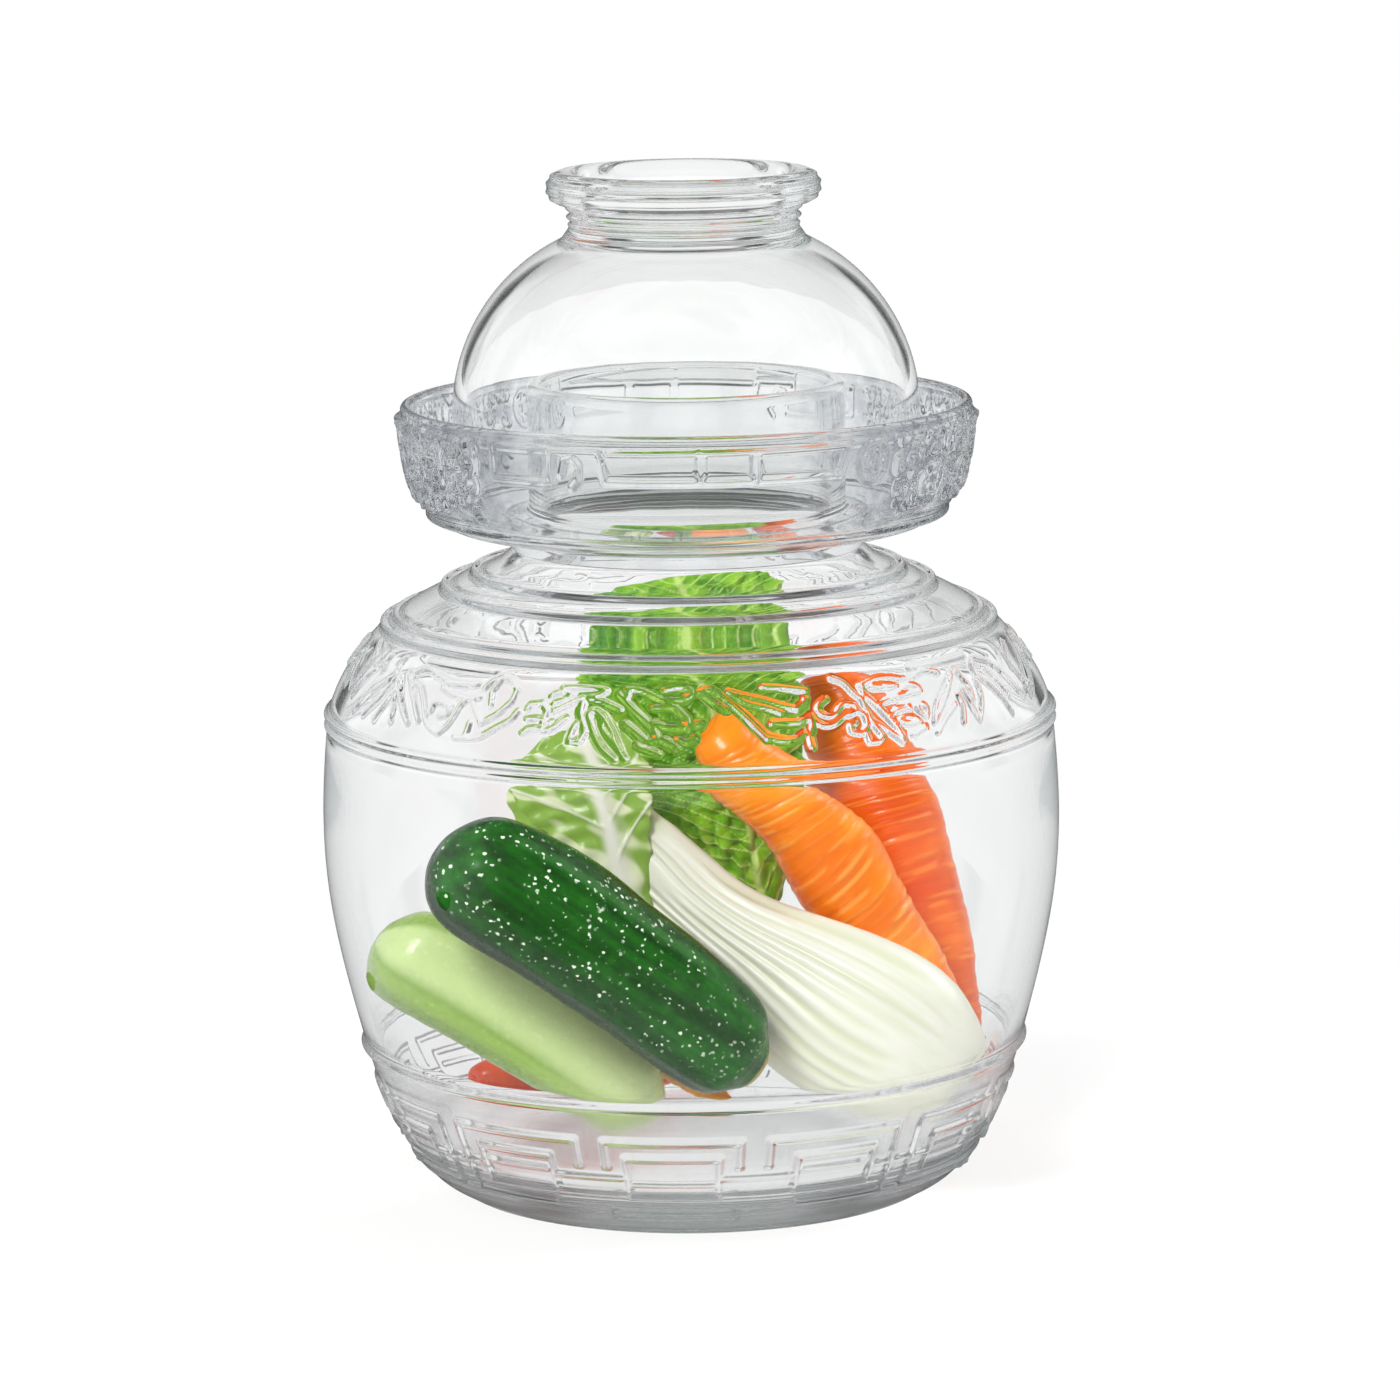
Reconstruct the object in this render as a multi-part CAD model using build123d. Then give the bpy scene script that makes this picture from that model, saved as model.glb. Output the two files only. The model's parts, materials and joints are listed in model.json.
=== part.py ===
from build123d import *
import math
import os

# A water seal pickle jar in millimetres, standing on z = 0 with its axis on Z.
# +X is to the right and -Y is towards the viewer.

# Glass jar: its largest radius, and how far each part of it rises above the one below
belly_radius = 109.0
band_rise = 43.8
belly_rise = 71.2
shoulder_rise = 28.0
collar_rise = 26.3
waist_rise = 21.7
trough_floor_rise = 10.5
trough_wall_rise = 32.5
mouth_rise = 38.5
foot_width = 9.0
punt_height = 3.5

# The other radii of the glass, as shares of the largest
radius_shares = {
    "foot": 0.6055, "band_top": 0.8982, "shoulder": 0.9817, "collar": 0.8257,
    "waist": 0.4725, "trough_rim": 0.7706, "mouth_bore": 0.3917, "lid_skirt": 0.6303,
    "lid_dome": 0.5550, "lid_crown": 0.3303, "knob_waist": 0.3046, "knob_rim": 0.3670,
    "knob_cup": 0.2807,
}

# Glass thickness
jar_wall = 4.0
waist_wall = 4.6
floor_thickness = 11.0
floor_corner_radius = 12.0

mouth_wall = 4.0
bore_flare_height = 3.0
trough_wall = 3.4
trough_floor_thickness = 5.4
trough_corner_radius = 2.5

# Ridges that run round the glass
band_bead = 1.4
line_bead = 1.1
step_bead = 1.3
trough_bead = 1.2

# Ornament pressed into the glass: how far it stands out, half its width, and the longest
# straight ridge that follows a curve
ridge_height = 0.8
ridge_half_width = 1.3
ridge_run = 15.0

# Glass lid: how far each part of it rises above the one below
lid_skirt_rise = 26.5
lid_dome_rise = 31.5
lid_crown_rise = 22.0
knob_waist_rise = 4.0
knob_ring_rise = 4.3
knob_top_rise = 11.6
lid_seat_margin = 1.8
lid_wall = 3.8
knob_ring_bead = 1.9
knob_rim_bead = 4.9
knob_cup_depth = 17.5
knob_cup_corner_radius = 4.0
knob_floor_thickness = 4.6

# Distance between things that lie on each other, and the stride that finds it
rest_gap = 0.55
settle_stride = 1.5

# Length, half-width, half-depth and rise of the middle of each vegetable, as shares of
# the jar's inner radius
vegetable_shares = {
    "pale_cucumber": (0.919, 0.1552, 0.1552, 0.0238),
    "dark_cucumber": (1.084, 0.1800, 0.1800, 0.0286),
    "red_carrot": (0.920, 0.0838, 0.0838, 0),
    "yellow_carrot": (0.659, 0.0810, 0.0810, 0),
    "cabbage": (1.533, 0.2476, 0.1667, -0.0667),
    "front_carrot": (1.225, 0.1352, 0.1352, 0.0333),
    "rear_carrot": (1.292, 0.1619, 0.1619, 0.0286),
    "leafy_green": (0.914, 0.3143, 0.0857, -0.0476),
}

# Runs of the ornament, as shares of one repeat round the glass, from its middle, and of
# the way up the outline that carries it
key_repeats = 4
key_turn = -4
key_shares = [
    [(-0.092, 0.71), (0.092, 0.71), (0.092, 0.47), (-0.092, 0.47), (-0.092, 0.71)],
    [(0.251, 0.70), (0.420, 0.70), (0.420, 0.49), (0.251, 0.49), (0.251, 0.70)],
    [(-0.251, 0.70), (-0.420, 0.70), (-0.420, 0.49), (-0.251, 0.49), (-0.251, 0.70)],
    [(-0.133, 0.81), (0.133, 0.81)],
    [(0.192, 0.81), (0.471, 0.81)],
    [(-0.192, 0.81), (-0.471, 0.81)],
    [(-0.251, 0.59), (-0.092, 0.59)],
    [(0.092, 0.59), (0.251, 0.59)],
    [(0.420, 0.59), (0.580, 0.59)],
    [(-0.5, 0.39), (0.5, 0.39)],
]
leaf_repeats = 2
leaf_shares = [
    [(-0.439, 0.38), (-0.469, 0.60)],
    [(-0.4, 0.34), (-0.373, 0.71)],
    [(-0.381, 0.21), (-0.336, 0.63)],
    [(-0.281, 0.25), (-0.325, 0.65)],
    [(-0.239, 0.21), (-0.283, 0.60)],
    [(-0.204, 0.70), (-0.189, 0.84), (-0.168, 0.67), (-0.196, 0.35)],
    [(-0.219, 0.20), (-0.161, 0.47)],
    [(-0.086, 0.52), (-0.058, 0.14)],
    [(-0.06, 0.79), (-0.019, 0.65), (0, 0.40)],
    [(0.01, 0.76), (0.068, 0.27)],
    [(0.036, 0.76), (0.099, 0.54)],
    [(0.162, 0.60), (0.193, 0.15)],
    [(0.178, 0.52), (0.229, 0.63)],
    [(0.232, 0.27), (0.281, 0.70)],
    [(0.332, 0.78), (0.375, 0.35)],
    [(0.473, 0.77), (0.4, 0.26)],
]
panel_repeats = 2
panel_shares = [
    [(-0.228, 0.93), (-0.229, 0.72), (-0.152, 0.72), (-0.150, 0.93)],
    [(-0.096, 0.93), (-0.089, 0.74), (0.012, 0.74), (0.013, 0.93)],
    [(0.078, 0.93), (0.080, 0.74), (0.174, 0.74), (0.186, 0.93)],
    [(-0.087, 0.93), (0.186, 0.93)],
]

foot_radius = belly_radius * radius_shares["foot"]
band_top_radius = belly_radius * radius_shares["band_top"]
shoulder_radius = belly_radius * radius_shares["shoulder"]
collar_radius = belly_radius * radius_shares["collar"]
waist_radius = belly_radius * radius_shares["waist"]
trough_rim_radius = belly_radius * radius_shares["trough_rim"]
mouth_bore_radius = belly_radius * radius_shares["mouth_bore"]
lid_skirt_radius = belly_radius * radius_shares["lid_skirt"]
dome_radius = belly_radius * radius_shares["lid_dome"]
crown_radius = belly_radius * radius_shares["lid_crown"]
knob_waist_radius = belly_radius * radius_shares["knob_waist"]
knob_rim_radius = belly_radius * radius_shares["knob_rim"]
knob_cup_radius = belly_radius * radius_shares["knob_cup"]
room_radius = belly_radius - jar_wall

band_height = band_rise
belly_height = band_height + belly_rise
shoulder_height = belly_height + shoulder_rise
collar_height = shoulder_height + collar_rise
waist_height = collar_height + waist_rise
trough_floor_height = waist_height + trough_floor_rise
trough_rim_height = trough_floor_height + trough_wall_rise
mouth_height = trough_floor_height + mouth_rise
lid_skirt_height = trough_floor_height + lid_skirt_rise
dome_height = lid_skirt_height + lid_dome_rise
crown_height = dome_height + lid_crown_rise
knob_waist_height = crown_height + knob_waist_rise
knob_ring_height = knob_waist_height + knob_ring_rise
knob_top_height = knob_ring_height + knob_top_rise


def between(low, high, shares):
    """Points between two corners of an outline, each given as a share of the way."""
    return [
        (low[0] + r * (high[0] - low[0]), low[1] + z * (high[1] - low[1]))
        for r, z in shares
    ]


def inset(points, wall):
    """The same outline moved inwards by the wall thickness, square to the outline."""
    moved = []
    for i, (radius, height) in enumerate(points):
        before = points[max(i - 1, 0)]
        after = points[min(i + 1, len(points) - 1)]
        run = after[0] - before[0]
        rise = after[1] - before[1]
        span = math.hypot(run, rise)
        moved.append((radius - wall * rise / span, height + wall * run / span))
    return moved


# Outside of the jar, as radius and height
band_shares = [(0.34, 0.08), (0.63, 0.33), (0.84, 0.64)]
belly_shares = [(0.55, 0.34), (0.90, 0.65)]
shoulder_shares = [(0.15, 0.25), (0.47, 0.60)]
top_shares = [(0.20, 0.23), (0.47, 0.48), (0.70, 0.68), (0.90, 0.84)]
trough_shares = [(0.44, 0.15), (0.72, 0.24), (0.87, 0.42), (0.955, 0.67)]

foot_point = (foot_radius, 0)
band_point = (band_top_radius, band_height)
belly_point = (belly_radius, belly_height)
shoulder_point = (shoulder_radius, shoulder_height)
collar_point = (collar_radius, collar_height)
waist_point = (waist_radius, waist_height)
trough_rim_point = (trough_rim_radius, trough_rim_height - trough_wall / 2)

band_line = [foot_point] + between(foot_point, band_point, band_shares) + [band_point]
belly_line = (
    [band_point]
    + between(band_point, belly_point, belly_shares)
    + [belly_point, shoulder_point]
)
shoulder_line = (
    [shoulder_point]
    + between(shoulder_point, collar_point, shoulder_shares)
    + [collar_point]
)
top_line = [collar_point] + between(collar_point, waist_point, top_shares) + [waist_point]
trough_side = between(waist_point, trough_rim_point, trough_shares) + [trough_rim_point]

# Inside of the jar, from the edge of its floor up to the mouth tube
side_inside = inset(
    band_line[2:] + belly_line[1:] + shoulder_line[1:] + top_line[1:-1], jar_wall
)
floor_edge = (side_inside[0][0] - floor_corner_radius, floor_thickness)
bore_low = (mouth_bore_radius, trough_floor_height - bore_flare_height)
inside_edge = Spline(
    floor_edge, *side_inside, (waist_radius - waist_wall, waist_height), bore_low
)


def arc_round(centre, size, start, end):
    """A round corner about a centre, from one angle to another in degrees."""
    points = [
        (
            centre[0] + size * math.cos(math.radians(angle)),
            centre[1] + size * math.sin(math.radians(angle)),
        )
        for angle in (start, (start + end) / 2, end)
    ]
    return ThreePointArc(*points)


def spin(edges, beads):
    """Spin a closed outline, with round beads fused to it, about the Z axis."""
    face = make_face(edges)
    for radius, height, size in beads:
        face += Pos(radius, height) * Circle(size)
    return revolve(Plane.XZ * face, axis=Axis.Z)


def on_line(points, height):
    """The point of a curved outline that lies nearest to a height."""
    line = Spline(*points)
    return tuple(min((line @ (i / 200) for i in range(201)), key=lambda p: abs(p.Y - height)))[:2]


def ridges(line, shares, repeats, turned=0):
    """Rounded ridges along the runs of an ornament, on the outside of an outline."""
    edge = Spline(*line)
    size = (ridge_half_width**2 + ridge_height**2) / (2 * ridge_height)

    def middle(share):
        place = edge @ share
        way = edge % share
        return place.X - way.Y * (size - ridge_height), place.Y + way.X * (size - ridge_height)

    def corner(turn, share):
        radius, height = middle(share)
        angle = math.radians(turn)
        return Vector(radius * math.sin(angle), -radius * math.cos(angle), height)

    made = []
    for repeat in range(repeats):
        start = turned + repeat * 360 / repeats
        for run in shares:
            stops = [(start + turn * 360 / repeats, share) for turn, share in run]
            for (turn, share), (next_turn, next_share) in zip(stops, stops[1:]):
                if share == next_share:
                    face = Plane.XZ * Pos(*middle(share)) * Circle(size)
                    arc = abs(next_turn - turn)
                    ring = revolve(face, axis=Axis.Z, revolution_arc=arc)
                    made.append(Rot(0, 0, min(turn, next_turn) - 90) * ring)
                    continue
                far = (corner(next_turn, next_share) - corner(turn, share)).length
                count = math.ceil(far / ridge_run)
                for i in range(count):
                    low, high = (
                        corner(
                            turn + (next_turn - turn) * step / count,
                            share + (next_share - share) * step / count,
                        )
                        for step in (i, i + 1)
                    )
                    length = (high - low).length
                    rod = extrude(Plane(origin=low, z_dir=high - low) * Circle(size), length)
                    made.append(rod)
    return made


def make_glass_jar():
    foot_inner = foot_radius - foot_width
    punt_radius = (foot_inner**2 + punt_height**2) / (2 * punt_height)
    punt_middle = math.sqrt(punt_radius**2 - (foot_inner / 2) ** 2) - punt_radius + punt_height
    under = trough_floor_height - trough_floor_thickness
    mouth_radius = mouth_bore_radius + mouth_wall
    flat_radius = lid_skirt_radius + lid_seat_margin
    trough_inside = inset(trough_side[1:], trough_wall)[1:]
    neck_corner = (waist_radius + trough_corner_radius, under - trough_corner_radius)
    mouth_corner = (mouth_radius + trough_corner_radius, trough_floor_height + trough_corner_radius)
    lip = mouth_wall / 2
    rim = trough_wall / 2
    edges = [
        ThreePointArc((0, punt_height), (foot_inner / 2, punt_middle), (foot_inner, 0)),
        Line((foot_inner, 0), foot_point),
        Spline(*band_line),
        Spline(*belly_line),
        Spline(*shoulder_line),
        Spline(*top_line),
        Line(waist_point, (waist_radius, neck_corner[1])),
        arc_round(neck_corner, trough_corner_radius, 180, 90),
        Spline((neck_corner[0], under), *trough_side),
        arc_round((trough_rim_radius - rim, trough_rim_point[1]), rim, 0, 180),
        Spline(
            (trough_rim_radius - trough_wall, trough_rim_point[1]),
            *reversed(trough_inside[:-1]),
            (flat_radius, trough_floor_height),
        ),
        Line((flat_radius, trough_floor_height), (mouth_corner[0], trough_floor_height)),
        arc_round(mouth_corner, trough_corner_radius, 270, 180),
        Line((mouth_radius, mouth_corner[1]), (mouth_radius, mouth_height - lip)),
        arc_round((mouth_radius - lip, mouth_height - lip), lip, 0, 180),
        Line((mouth_bore_radius, mouth_height - lip), bore_low),
        inside_edge,
        Line(floor_edge, (0, floor_thickness)),
        Line((0, floor_thickness), (0, punt_height)),
    ]
    low_bead = shoulder_height - 3 * line_bead
    high_bead = collar_height + 2 * line_bead
    beads = [
        (band_top_radius, band_height, band_bead),
        (shoulder_radius, shoulder_height, line_bead),
        (*on_line(belly_line, low_bead), line_bead),
        (collar_radius, collar_height, line_bead),
        (*on_line(top_line, high_bead), line_bead),
        (*top_line[2], step_bead),
        (*top_line[3], step_bead),
        (*trough_side[1], trough_bead),
    ]
    ornament = [
        *ridges(band_line, key_shares, key_repeats, key_turn),
        *ridges(shoulder_line, leaf_shares, leaf_repeats),
        *ridges(trough_side, panel_shares, panel_repeats),
    ]
    return spin(edges, beads).fuse(*ornament)


def make_glass_lid():
    """The lid stands on the trough floor."""
    base = trough_floor_height
    skirt_inner = lid_skirt_radius - lid_wall
    skirt_top = (lid_skirt_radius, lid_skirt_height)
    crown = (crown_radius, crown_height)
    dome = ThreePointArc(skirt_top, (dome_radius, dome_height), crown)
    centre = dome.arc_center
    inner = dome.radius - lid_wall
    cup_floor = knob_top_height - knob_cup_depth
    ceiling = cup_floor - knob_floor_thickness
    ceiling_radius = centre.X + math.sqrt(inner**2 - (ceiling - centre.Y) ** 2)
    angle_low = math.degrees(
        math.atan2(skirt_top[1] - centre.Y, skirt_top[0] - centre.X)
    )
    angle_high = math.degrees(
        math.atan2(ceiling - centre.Y, ceiling_radius - centre.X)
    )
    dome_inside = arc_round((centre.X, centre.Y), inner, angle_low, angle_high)
    rim_height = knob_top_height - knob_rim_bead
    waist_low = (knob_waist_radius, knob_waist_height)
    cup_corner = (knob_cup_radius - knob_cup_corner_radius, cup_floor + knob_cup_corner_radius)
    edges = [
        Line((skirt_inner, base), (lid_skirt_radius, base)),
        Line((lid_skirt_radius, base), skirt_top),
        dome,
        Line(crown, waist_low),
        Line(waist_low, (knob_waist_radius, rim_height)),
        Line((knob_waist_radius, rim_height), (knob_cup_radius, rim_height)),
        Line((knob_cup_radius, rim_height), (knob_cup_radius, cup_corner[1])),
        arc_round(cup_corner, knob_cup_corner_radius, 0, -90),
        Line((cup_corner[0], cup_floor), (0, cup_floor)),
        Line((0, cup_floor), (0, ceiling)),
        Line((0, ceiling), (ceiling_radius, ceiling)),
        dome_inside,
        Line(dome_inside @ 0, (skirt_inner, base)),
    ]
    beads = [
        (knob_rim_radius - knob_rim_bead, rim_height, knob_rim_bead),
        (knob_waist_radius, knob_ring_height, knob_ring_bead),
    ]
    return spin(edges, beads)


# Half-width along each vegetable, as shares of its length from the top and of its radius
cucumber_shares = [
    (0, 0.17), (0.025, 0.52), (0.08, 0.85), (0.18, 0.98), (0.36, 1.0),
    (0.60, 1.0), (0.80, 0.95), (0.92, 0.81), (0.975, 0.49), (1, 0.16),
]
long_carrot_shares = [
    (0, 0.30), (0.025, 0.56), (0.08, 0.76), (0.20, 0.93), (0.38, 1.0),
    (0.56, 0.96), (0.74, 0.81), (0.88, 0.60), (0.965, 0.40), (1, 0.20),
]
small_carrot_shares = [
    (0, 0.35), (0.03, 0.70), (0.10, 0.94), (0.22, 1.0), (0.45, 0.90),
    (0.68, 0.72), (0.88, 0.48), (1, 0.20),
]
# Along, half-width and half-depth: leaf, ribs and butt of the cabbage
cabbage_shares = [
    (0, 0.36, 0.10), (0.04, 0.62, 0.18), (0.12, 0.76, 0.26), (0.24, 0.64, 0.34),
    (0.36, 0.50, 0.46), (0.50, 0.60, 0.62), (0.64, 0.86, 0.86), (0.78, 1.0, 1.0),
    (0.89, 0.92, 0.92), (0.965, 0.64, 0.64), (1, 0.34, 0.34),
]
leafy_green_shares = [
    (0, 0.55, 0.40), (0.05, 0.86, 0.80), (0.20, 1.0, 1.0), (0.48, 0.95, 1.0),
    (0.70, 0.66, 0.96), (0.87, 0.38, 0.80), (0.96, 0.22, 0.55), (1, 0.12, 0.30),
]


class Vegetable:
    """A loft along a gently bowed line, with an ellipse at each station.

    middle is the middle of the line. turn and drop give the way from the top end to the
    low end: turn about Z from +X, and drop below level, in degrees.
    """

    def __init__(self, middle, turn, drop, length, half_width, half_depth, bow, form):
        turn = math.radians(turn)
        drop = math.radians(drop)
        self.along = Vector(
            math.cos(drop) * math.cos(turn), math.cos(drop) * math.sin(turn), -math.sin(drop)
        )
        self.upward = (Vector(0, 0, 1) - self.along * self.along.Z).normalized()
        self.across = self.along.cross(Vector(0, 1, 0)).normalized()
        self.middle = Vector(*middle)
        self.length = length
        self.bow = bow
        self.stations = [(row[0], half_width * row[1], half_depth * row[-1]) for row in form]

    def point(self, share):
        lift = self.bow * (1 - (2 * share - 1) ** 2)
        return self.middle + self.along * (self.length * (share - 1 / 2)) + self.upward * lift

    def balls(self, count=40, rows=6):
        """Balls that fill the ellipses along the line, as x, y, z and radius."""
        width_line = Spline(*[(share * self.length, width) for share, width, _ in self.stations])
        depth_line = Spline(*[(share * self.length, depth) for share, _, depth in self.stations])
        edge = [width_line @ (i / (4 * count)) for i in range(4 * count + 1)]
        found = []
        for i in range(1, count):
            travel, width = tuple(width_line @ (i / count))[:2]
            depth = min((depth_line @ (i / count)).Y, width)
            place = self.point(travel / self.length)
            spread = width**2 - depth**2
            for side in range(-rows, rows + 1) if spread > 0 else [0]:
                aside = spread / width * side / rows
                to_edge = min(math.hypot(p.X - travel, p.Y - abs(aside)) for p in edge)
                thin = math.sqrt(1 - spread * (side / rows / width) ** 2)
                radius = min(depth * thin, to_edge, travel, self.length - travel)
                spot = place + self.across * aside
                found.append((spot.X, spot.Y, spot.Z, radius))
        return found

    def solid(self):
        faces = []
        for share, width, depth in self.stations:
            before = self.point(max(share - 1 / 100, 0))
            after = self.point(min(share + 1 / 100, 1))
            plane = Plane(
                origin=self.point(share),
                x_dir=self.across,
                z_dir=after - before,
            )
            faces.append(plane * Ellipse(width, depth))
        return loft(faces)


inside_points = [inside_edge @ (i / 150) for i in range(151)]


def clearance(balls, placed):
    """Least distance from the balls to the glass and to what is already in the jar."""
    least = math.inf
    for x, y, z, radius in balls:
        out = math.hypot(x, y)
        to_wall = min(math.hypot(out - p.X, z - p.Y) for p in inside_points)
        least = min(least, to_wall - radius, z - radius - floor_thickness)
        for other_x, other_y, other_z, other_radius in placed:
            gap = math.dist((x, y, z), (other_x, other_y, other_z)) - radius - other_radius
            least = min(least, gap)
    return least


def settle(vegetable, way, placed):
    """Slide a vegetable along a direction until it lies on the glass or a neighbour."""
    way = Vector(*way).normalized()
    start = vegetable.balls()

    def gap_at(travel):
        shift = way * travel
        moved = [(x + shift.X, y + shift.Y, z + shift.Z, radius) for x, y, z, radius in start]
        return clearance(moved, placed) - rest_gap

    low = 0
    while gap_at(low) < 0:
        low -= settle_stride
    high = low + settle_stride
    while gap_at(high) > 0:
        low = high
        high += settle_stride
    for _ in range(9):
        middle = (low + high) / 2
        if gap_at(middle) > 0:
            low = middle
        else:
            high = middle
    vegetable.middle += way * low
    placed.extend(vegetable.balls())


def place(x_share, y_share, z_share):
    """A place in the jar, in shares of its inner radius, counted from its floor."""
    return (
        room_radius * x_share,
        room_radius * y_share,
        floor_thickness + room_radius * z_share,
    )


def make_vegetables():
    """Each vegetable in the order in which it was put in, and the way it slid into place."""
    placed = []
    layout = {
        "pale_cucumber": (
            place(-0.474, -0.318, 0.432), 4.0, 34.9, cucumber_shares, (-0.5, -0.3, -0.8)
        ),
        "dark_cucumber": (
            place(-0.256, -0.572, 0.640), 10.1, 37.0, cucumber_shares, (0, -0.5, -0.85)
        ),
        "red_carrot": (
            place(-0.266, 0.467, 0.100), 34.1, 4.7, small_carrot_shares, (0, 0, -1)
        ),
        "yellow_carrot": (
            place(-0.124, -0.105, 0.328), -35.4, 32.1, small_carrot_shares, (-0.4, -1, -0.3)
        ),
        "cabbage": (
            place(0.108, -0.178, 0.700), -21.3, 32.4, cabbage_shares, (0.6, -0.7, -0.3)
        ),
        "front_carrot": (
            place(0.420, -0.014, 0.733), -0.7, 53.3, long_carrot_shares, (0, -1, -0.4)
        ),
        "rear_carrot": (
            place(0.589, 0.340, 0.783), -45.8, 64.4, long_carrot_shares, (0, -0.3, -1)
        ),
        "leafy_green": (
            place(0.088, 0.248, 1.130), -12.1, 73.4, leafy_green_shares, (0, -1, -0.3)
        ),
    }
    solids = {}
    for name, (middle, turn, drop, form, way) in layout.items():
        size = [room_radius * share for share in vegetable_shares[name]]
        vegetable = Vegetable(middle, turn, drop, *size, form)
        settle(vegetable, way, placed)
        solids[name] = vegetable.solid()
    return solids


parts = {"glass_jar": make_glass_jar(), "glass_lid": make_glass_lid()}
parts.update(make_vegetables())
os.makedirs("parts", exist_ok=True)
for name, solid in parts.items():
    export_step(solid, f"parts/{name}.step")
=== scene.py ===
import json
import math

import bpy
import numpy as np
from mathutils import Matrix, Vector

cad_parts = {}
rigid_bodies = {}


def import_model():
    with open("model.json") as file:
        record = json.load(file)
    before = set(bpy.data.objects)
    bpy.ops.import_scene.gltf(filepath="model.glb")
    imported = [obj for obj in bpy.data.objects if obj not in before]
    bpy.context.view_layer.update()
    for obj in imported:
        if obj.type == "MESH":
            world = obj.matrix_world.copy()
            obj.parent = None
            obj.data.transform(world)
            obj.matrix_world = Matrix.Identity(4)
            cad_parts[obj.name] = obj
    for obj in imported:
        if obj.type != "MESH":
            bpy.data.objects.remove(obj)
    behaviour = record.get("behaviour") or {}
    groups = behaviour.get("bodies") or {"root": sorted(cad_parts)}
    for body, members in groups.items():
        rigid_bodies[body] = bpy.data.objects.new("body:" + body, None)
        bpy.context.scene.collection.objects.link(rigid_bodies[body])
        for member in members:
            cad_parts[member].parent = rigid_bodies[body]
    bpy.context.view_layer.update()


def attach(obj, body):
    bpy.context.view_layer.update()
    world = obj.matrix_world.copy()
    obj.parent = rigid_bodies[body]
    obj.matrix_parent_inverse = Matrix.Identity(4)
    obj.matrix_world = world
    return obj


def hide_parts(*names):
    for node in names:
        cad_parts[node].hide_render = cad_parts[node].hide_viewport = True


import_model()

scene = bpy.context.scene

# Shapes are in millimetres until a mesh is made; materials, camera, floor and lamps are in
# metres. +X is right and -Y faces the viewer.
MM = 0.001

# Distance between the points of an outline, and how many of them a corner is rounded over
STEP = 0.1
SOFT_POINTS = 17

# Distance between the points of a curved stroke
STROKE_STEP = 1.2

# Points round the glass, where a pattern is pressed into it and elsewhere
PATTERN_COLUMNS = 1080
PLAIN_COLUMNS = 540

# Steps of an outline between two rings of points, and the most that it bends between them
BEAD_STEPS = 2
PATTERN_STEPS = 6
PLAIN_STEPS = 25
MOST_BEND = 0.15

# Points round a vegetable, and the distance between its rings
SKIN_COLUMNS = 200
SKIN_STEP = 0.6

# Waves that are added up for a smooth random value
WAVES = 7

# A ray that has met more surfaces than this is caught inside the glass, and is let out
CAUGHT = 17.5


# Outlines of the glass, from the middle of the foot up the outside and down the inside

def natural_cubic(known, values, at):
    """Values of a natural cubic spline through the known ones."""
    gaps = np.diff(known)
    slopes = np.diff(values) / gaps
    count = len(known)
    matrix = np.eye(count)
    right = np.zeros(count)
    for i in range(1, count - 1):
        matrix[i, i - 1:i + 2] = gaps[i - 1], 2 * (gaps[i - 1] + gaps[i]), gaps[i]
        right[i] = 6 * (slopes[i] - slopes[i - 1])
    bend = np.linalg.solve(matrix, right)
    i = np.clip(np.searchsorted(known, at) - 1, 0, count - 2)
    gap = gaps[i]
    left = (known[i + 1] - at) / gap
    far = (at - known[i]) / gap
    return (
        left * values[i] + far * values[i + 1]
        + ((left**3 - left) * bend[i] + (far**3 - far) * bend[i + 1]) * gap**2 / 6
    )


def smooth_line(points, step):
    """Points at even steps along a smooth line through the given ones."""
    points = np.array(points, float)
    reach = np.concatenate([[0], np.cumsum(np.linalg.norm(np.diff(points, axis=0), axis=1))])
    at = np.linspace(0, reach[-1], max(int(reach[-1] / step), 2) + 1)
    return np.column_stack([natural_cubic(reach, column, at) for column in points.T])


def straight(*points):
    """Points at even steps along straight runs."""
    runs = [
        np.linspace(a, b, max(int(math.dist(a, b) / STEP), 2) + 1)
        for a, b in zip(points, points[1:])
    ]
    return np.concatenate(runs)


def arc(centre, radius, start, end):
    """Points along an arc, from one angle to another in degrees."""
    count = max(int(abs(math.radians(end - start)) * radius / STEP), 8)
    angles = np.radians(np.linspace(start, end, count + 1))
    return np.column_stack(
        [centre[0] + radius * np.cos(angles), centre[1] + radius * np.sin(angles)]
    )


def circle_through(a, b, c):
    """Centre and radius of the circle through three points."""
    a, b, c = (np.array(p, float) for p in (a, b, c))
    centre = np.linalg.solve(2 * np.array([b - a, c - a]), [b @ b - a @ a, c @ c - a @ a])
    return centre, math.dist(centre, a)


def three_point_arc(a, b, c):
    """Points along the arc through three places."""
    centre, radius = circle_through(a, b, c)
    start = math.degrees(math.atan2(a[1] - centre[1], a[0] - centre[0]))
    end = math.degrees(math.atan2(c[1] - centre[1], c[0] - centre[0]))
    if abs(end - start) > 180:
        end += 360 if end < start else -360
    return arc(centre, radius, start, end)


def joined(*runs):
    """One outline of several runs, at even steps, with its corners slightly rounded."""
    line = np.concatenate(runs)
    keep = np.concatenate([[True], np.linalg.norm(np.diff(line, axis=0), axis=1) > 1e-6])
    line = line[keep]
    reach = np.concatenate([[0], np.cumsum(np.linalg.norm(np.diff(line, axis=0), axis=1))])
    at = np.arange(0, reach[-1], STEP)
    even = np.column_stack([np.interp(at, reach, line[:, i]) for i in (0, 1)])
    soft = np.exp(-np.linspace(-2, 2, SOFT_POINTS) ** 2)
    half = SOFT_POINTS // 2
    padded = np.pad(even, ((half, half), (0, 0)), mode="edge")
    rounded = np.column_stack(
        [np.convolve(padded[:, i], soft / soft.sum(), mode="valid") for i in (0, 1)]
    )
    rounded[0] = line[0]
    rounded[-1] = line[-1]
    return rounded


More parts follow.
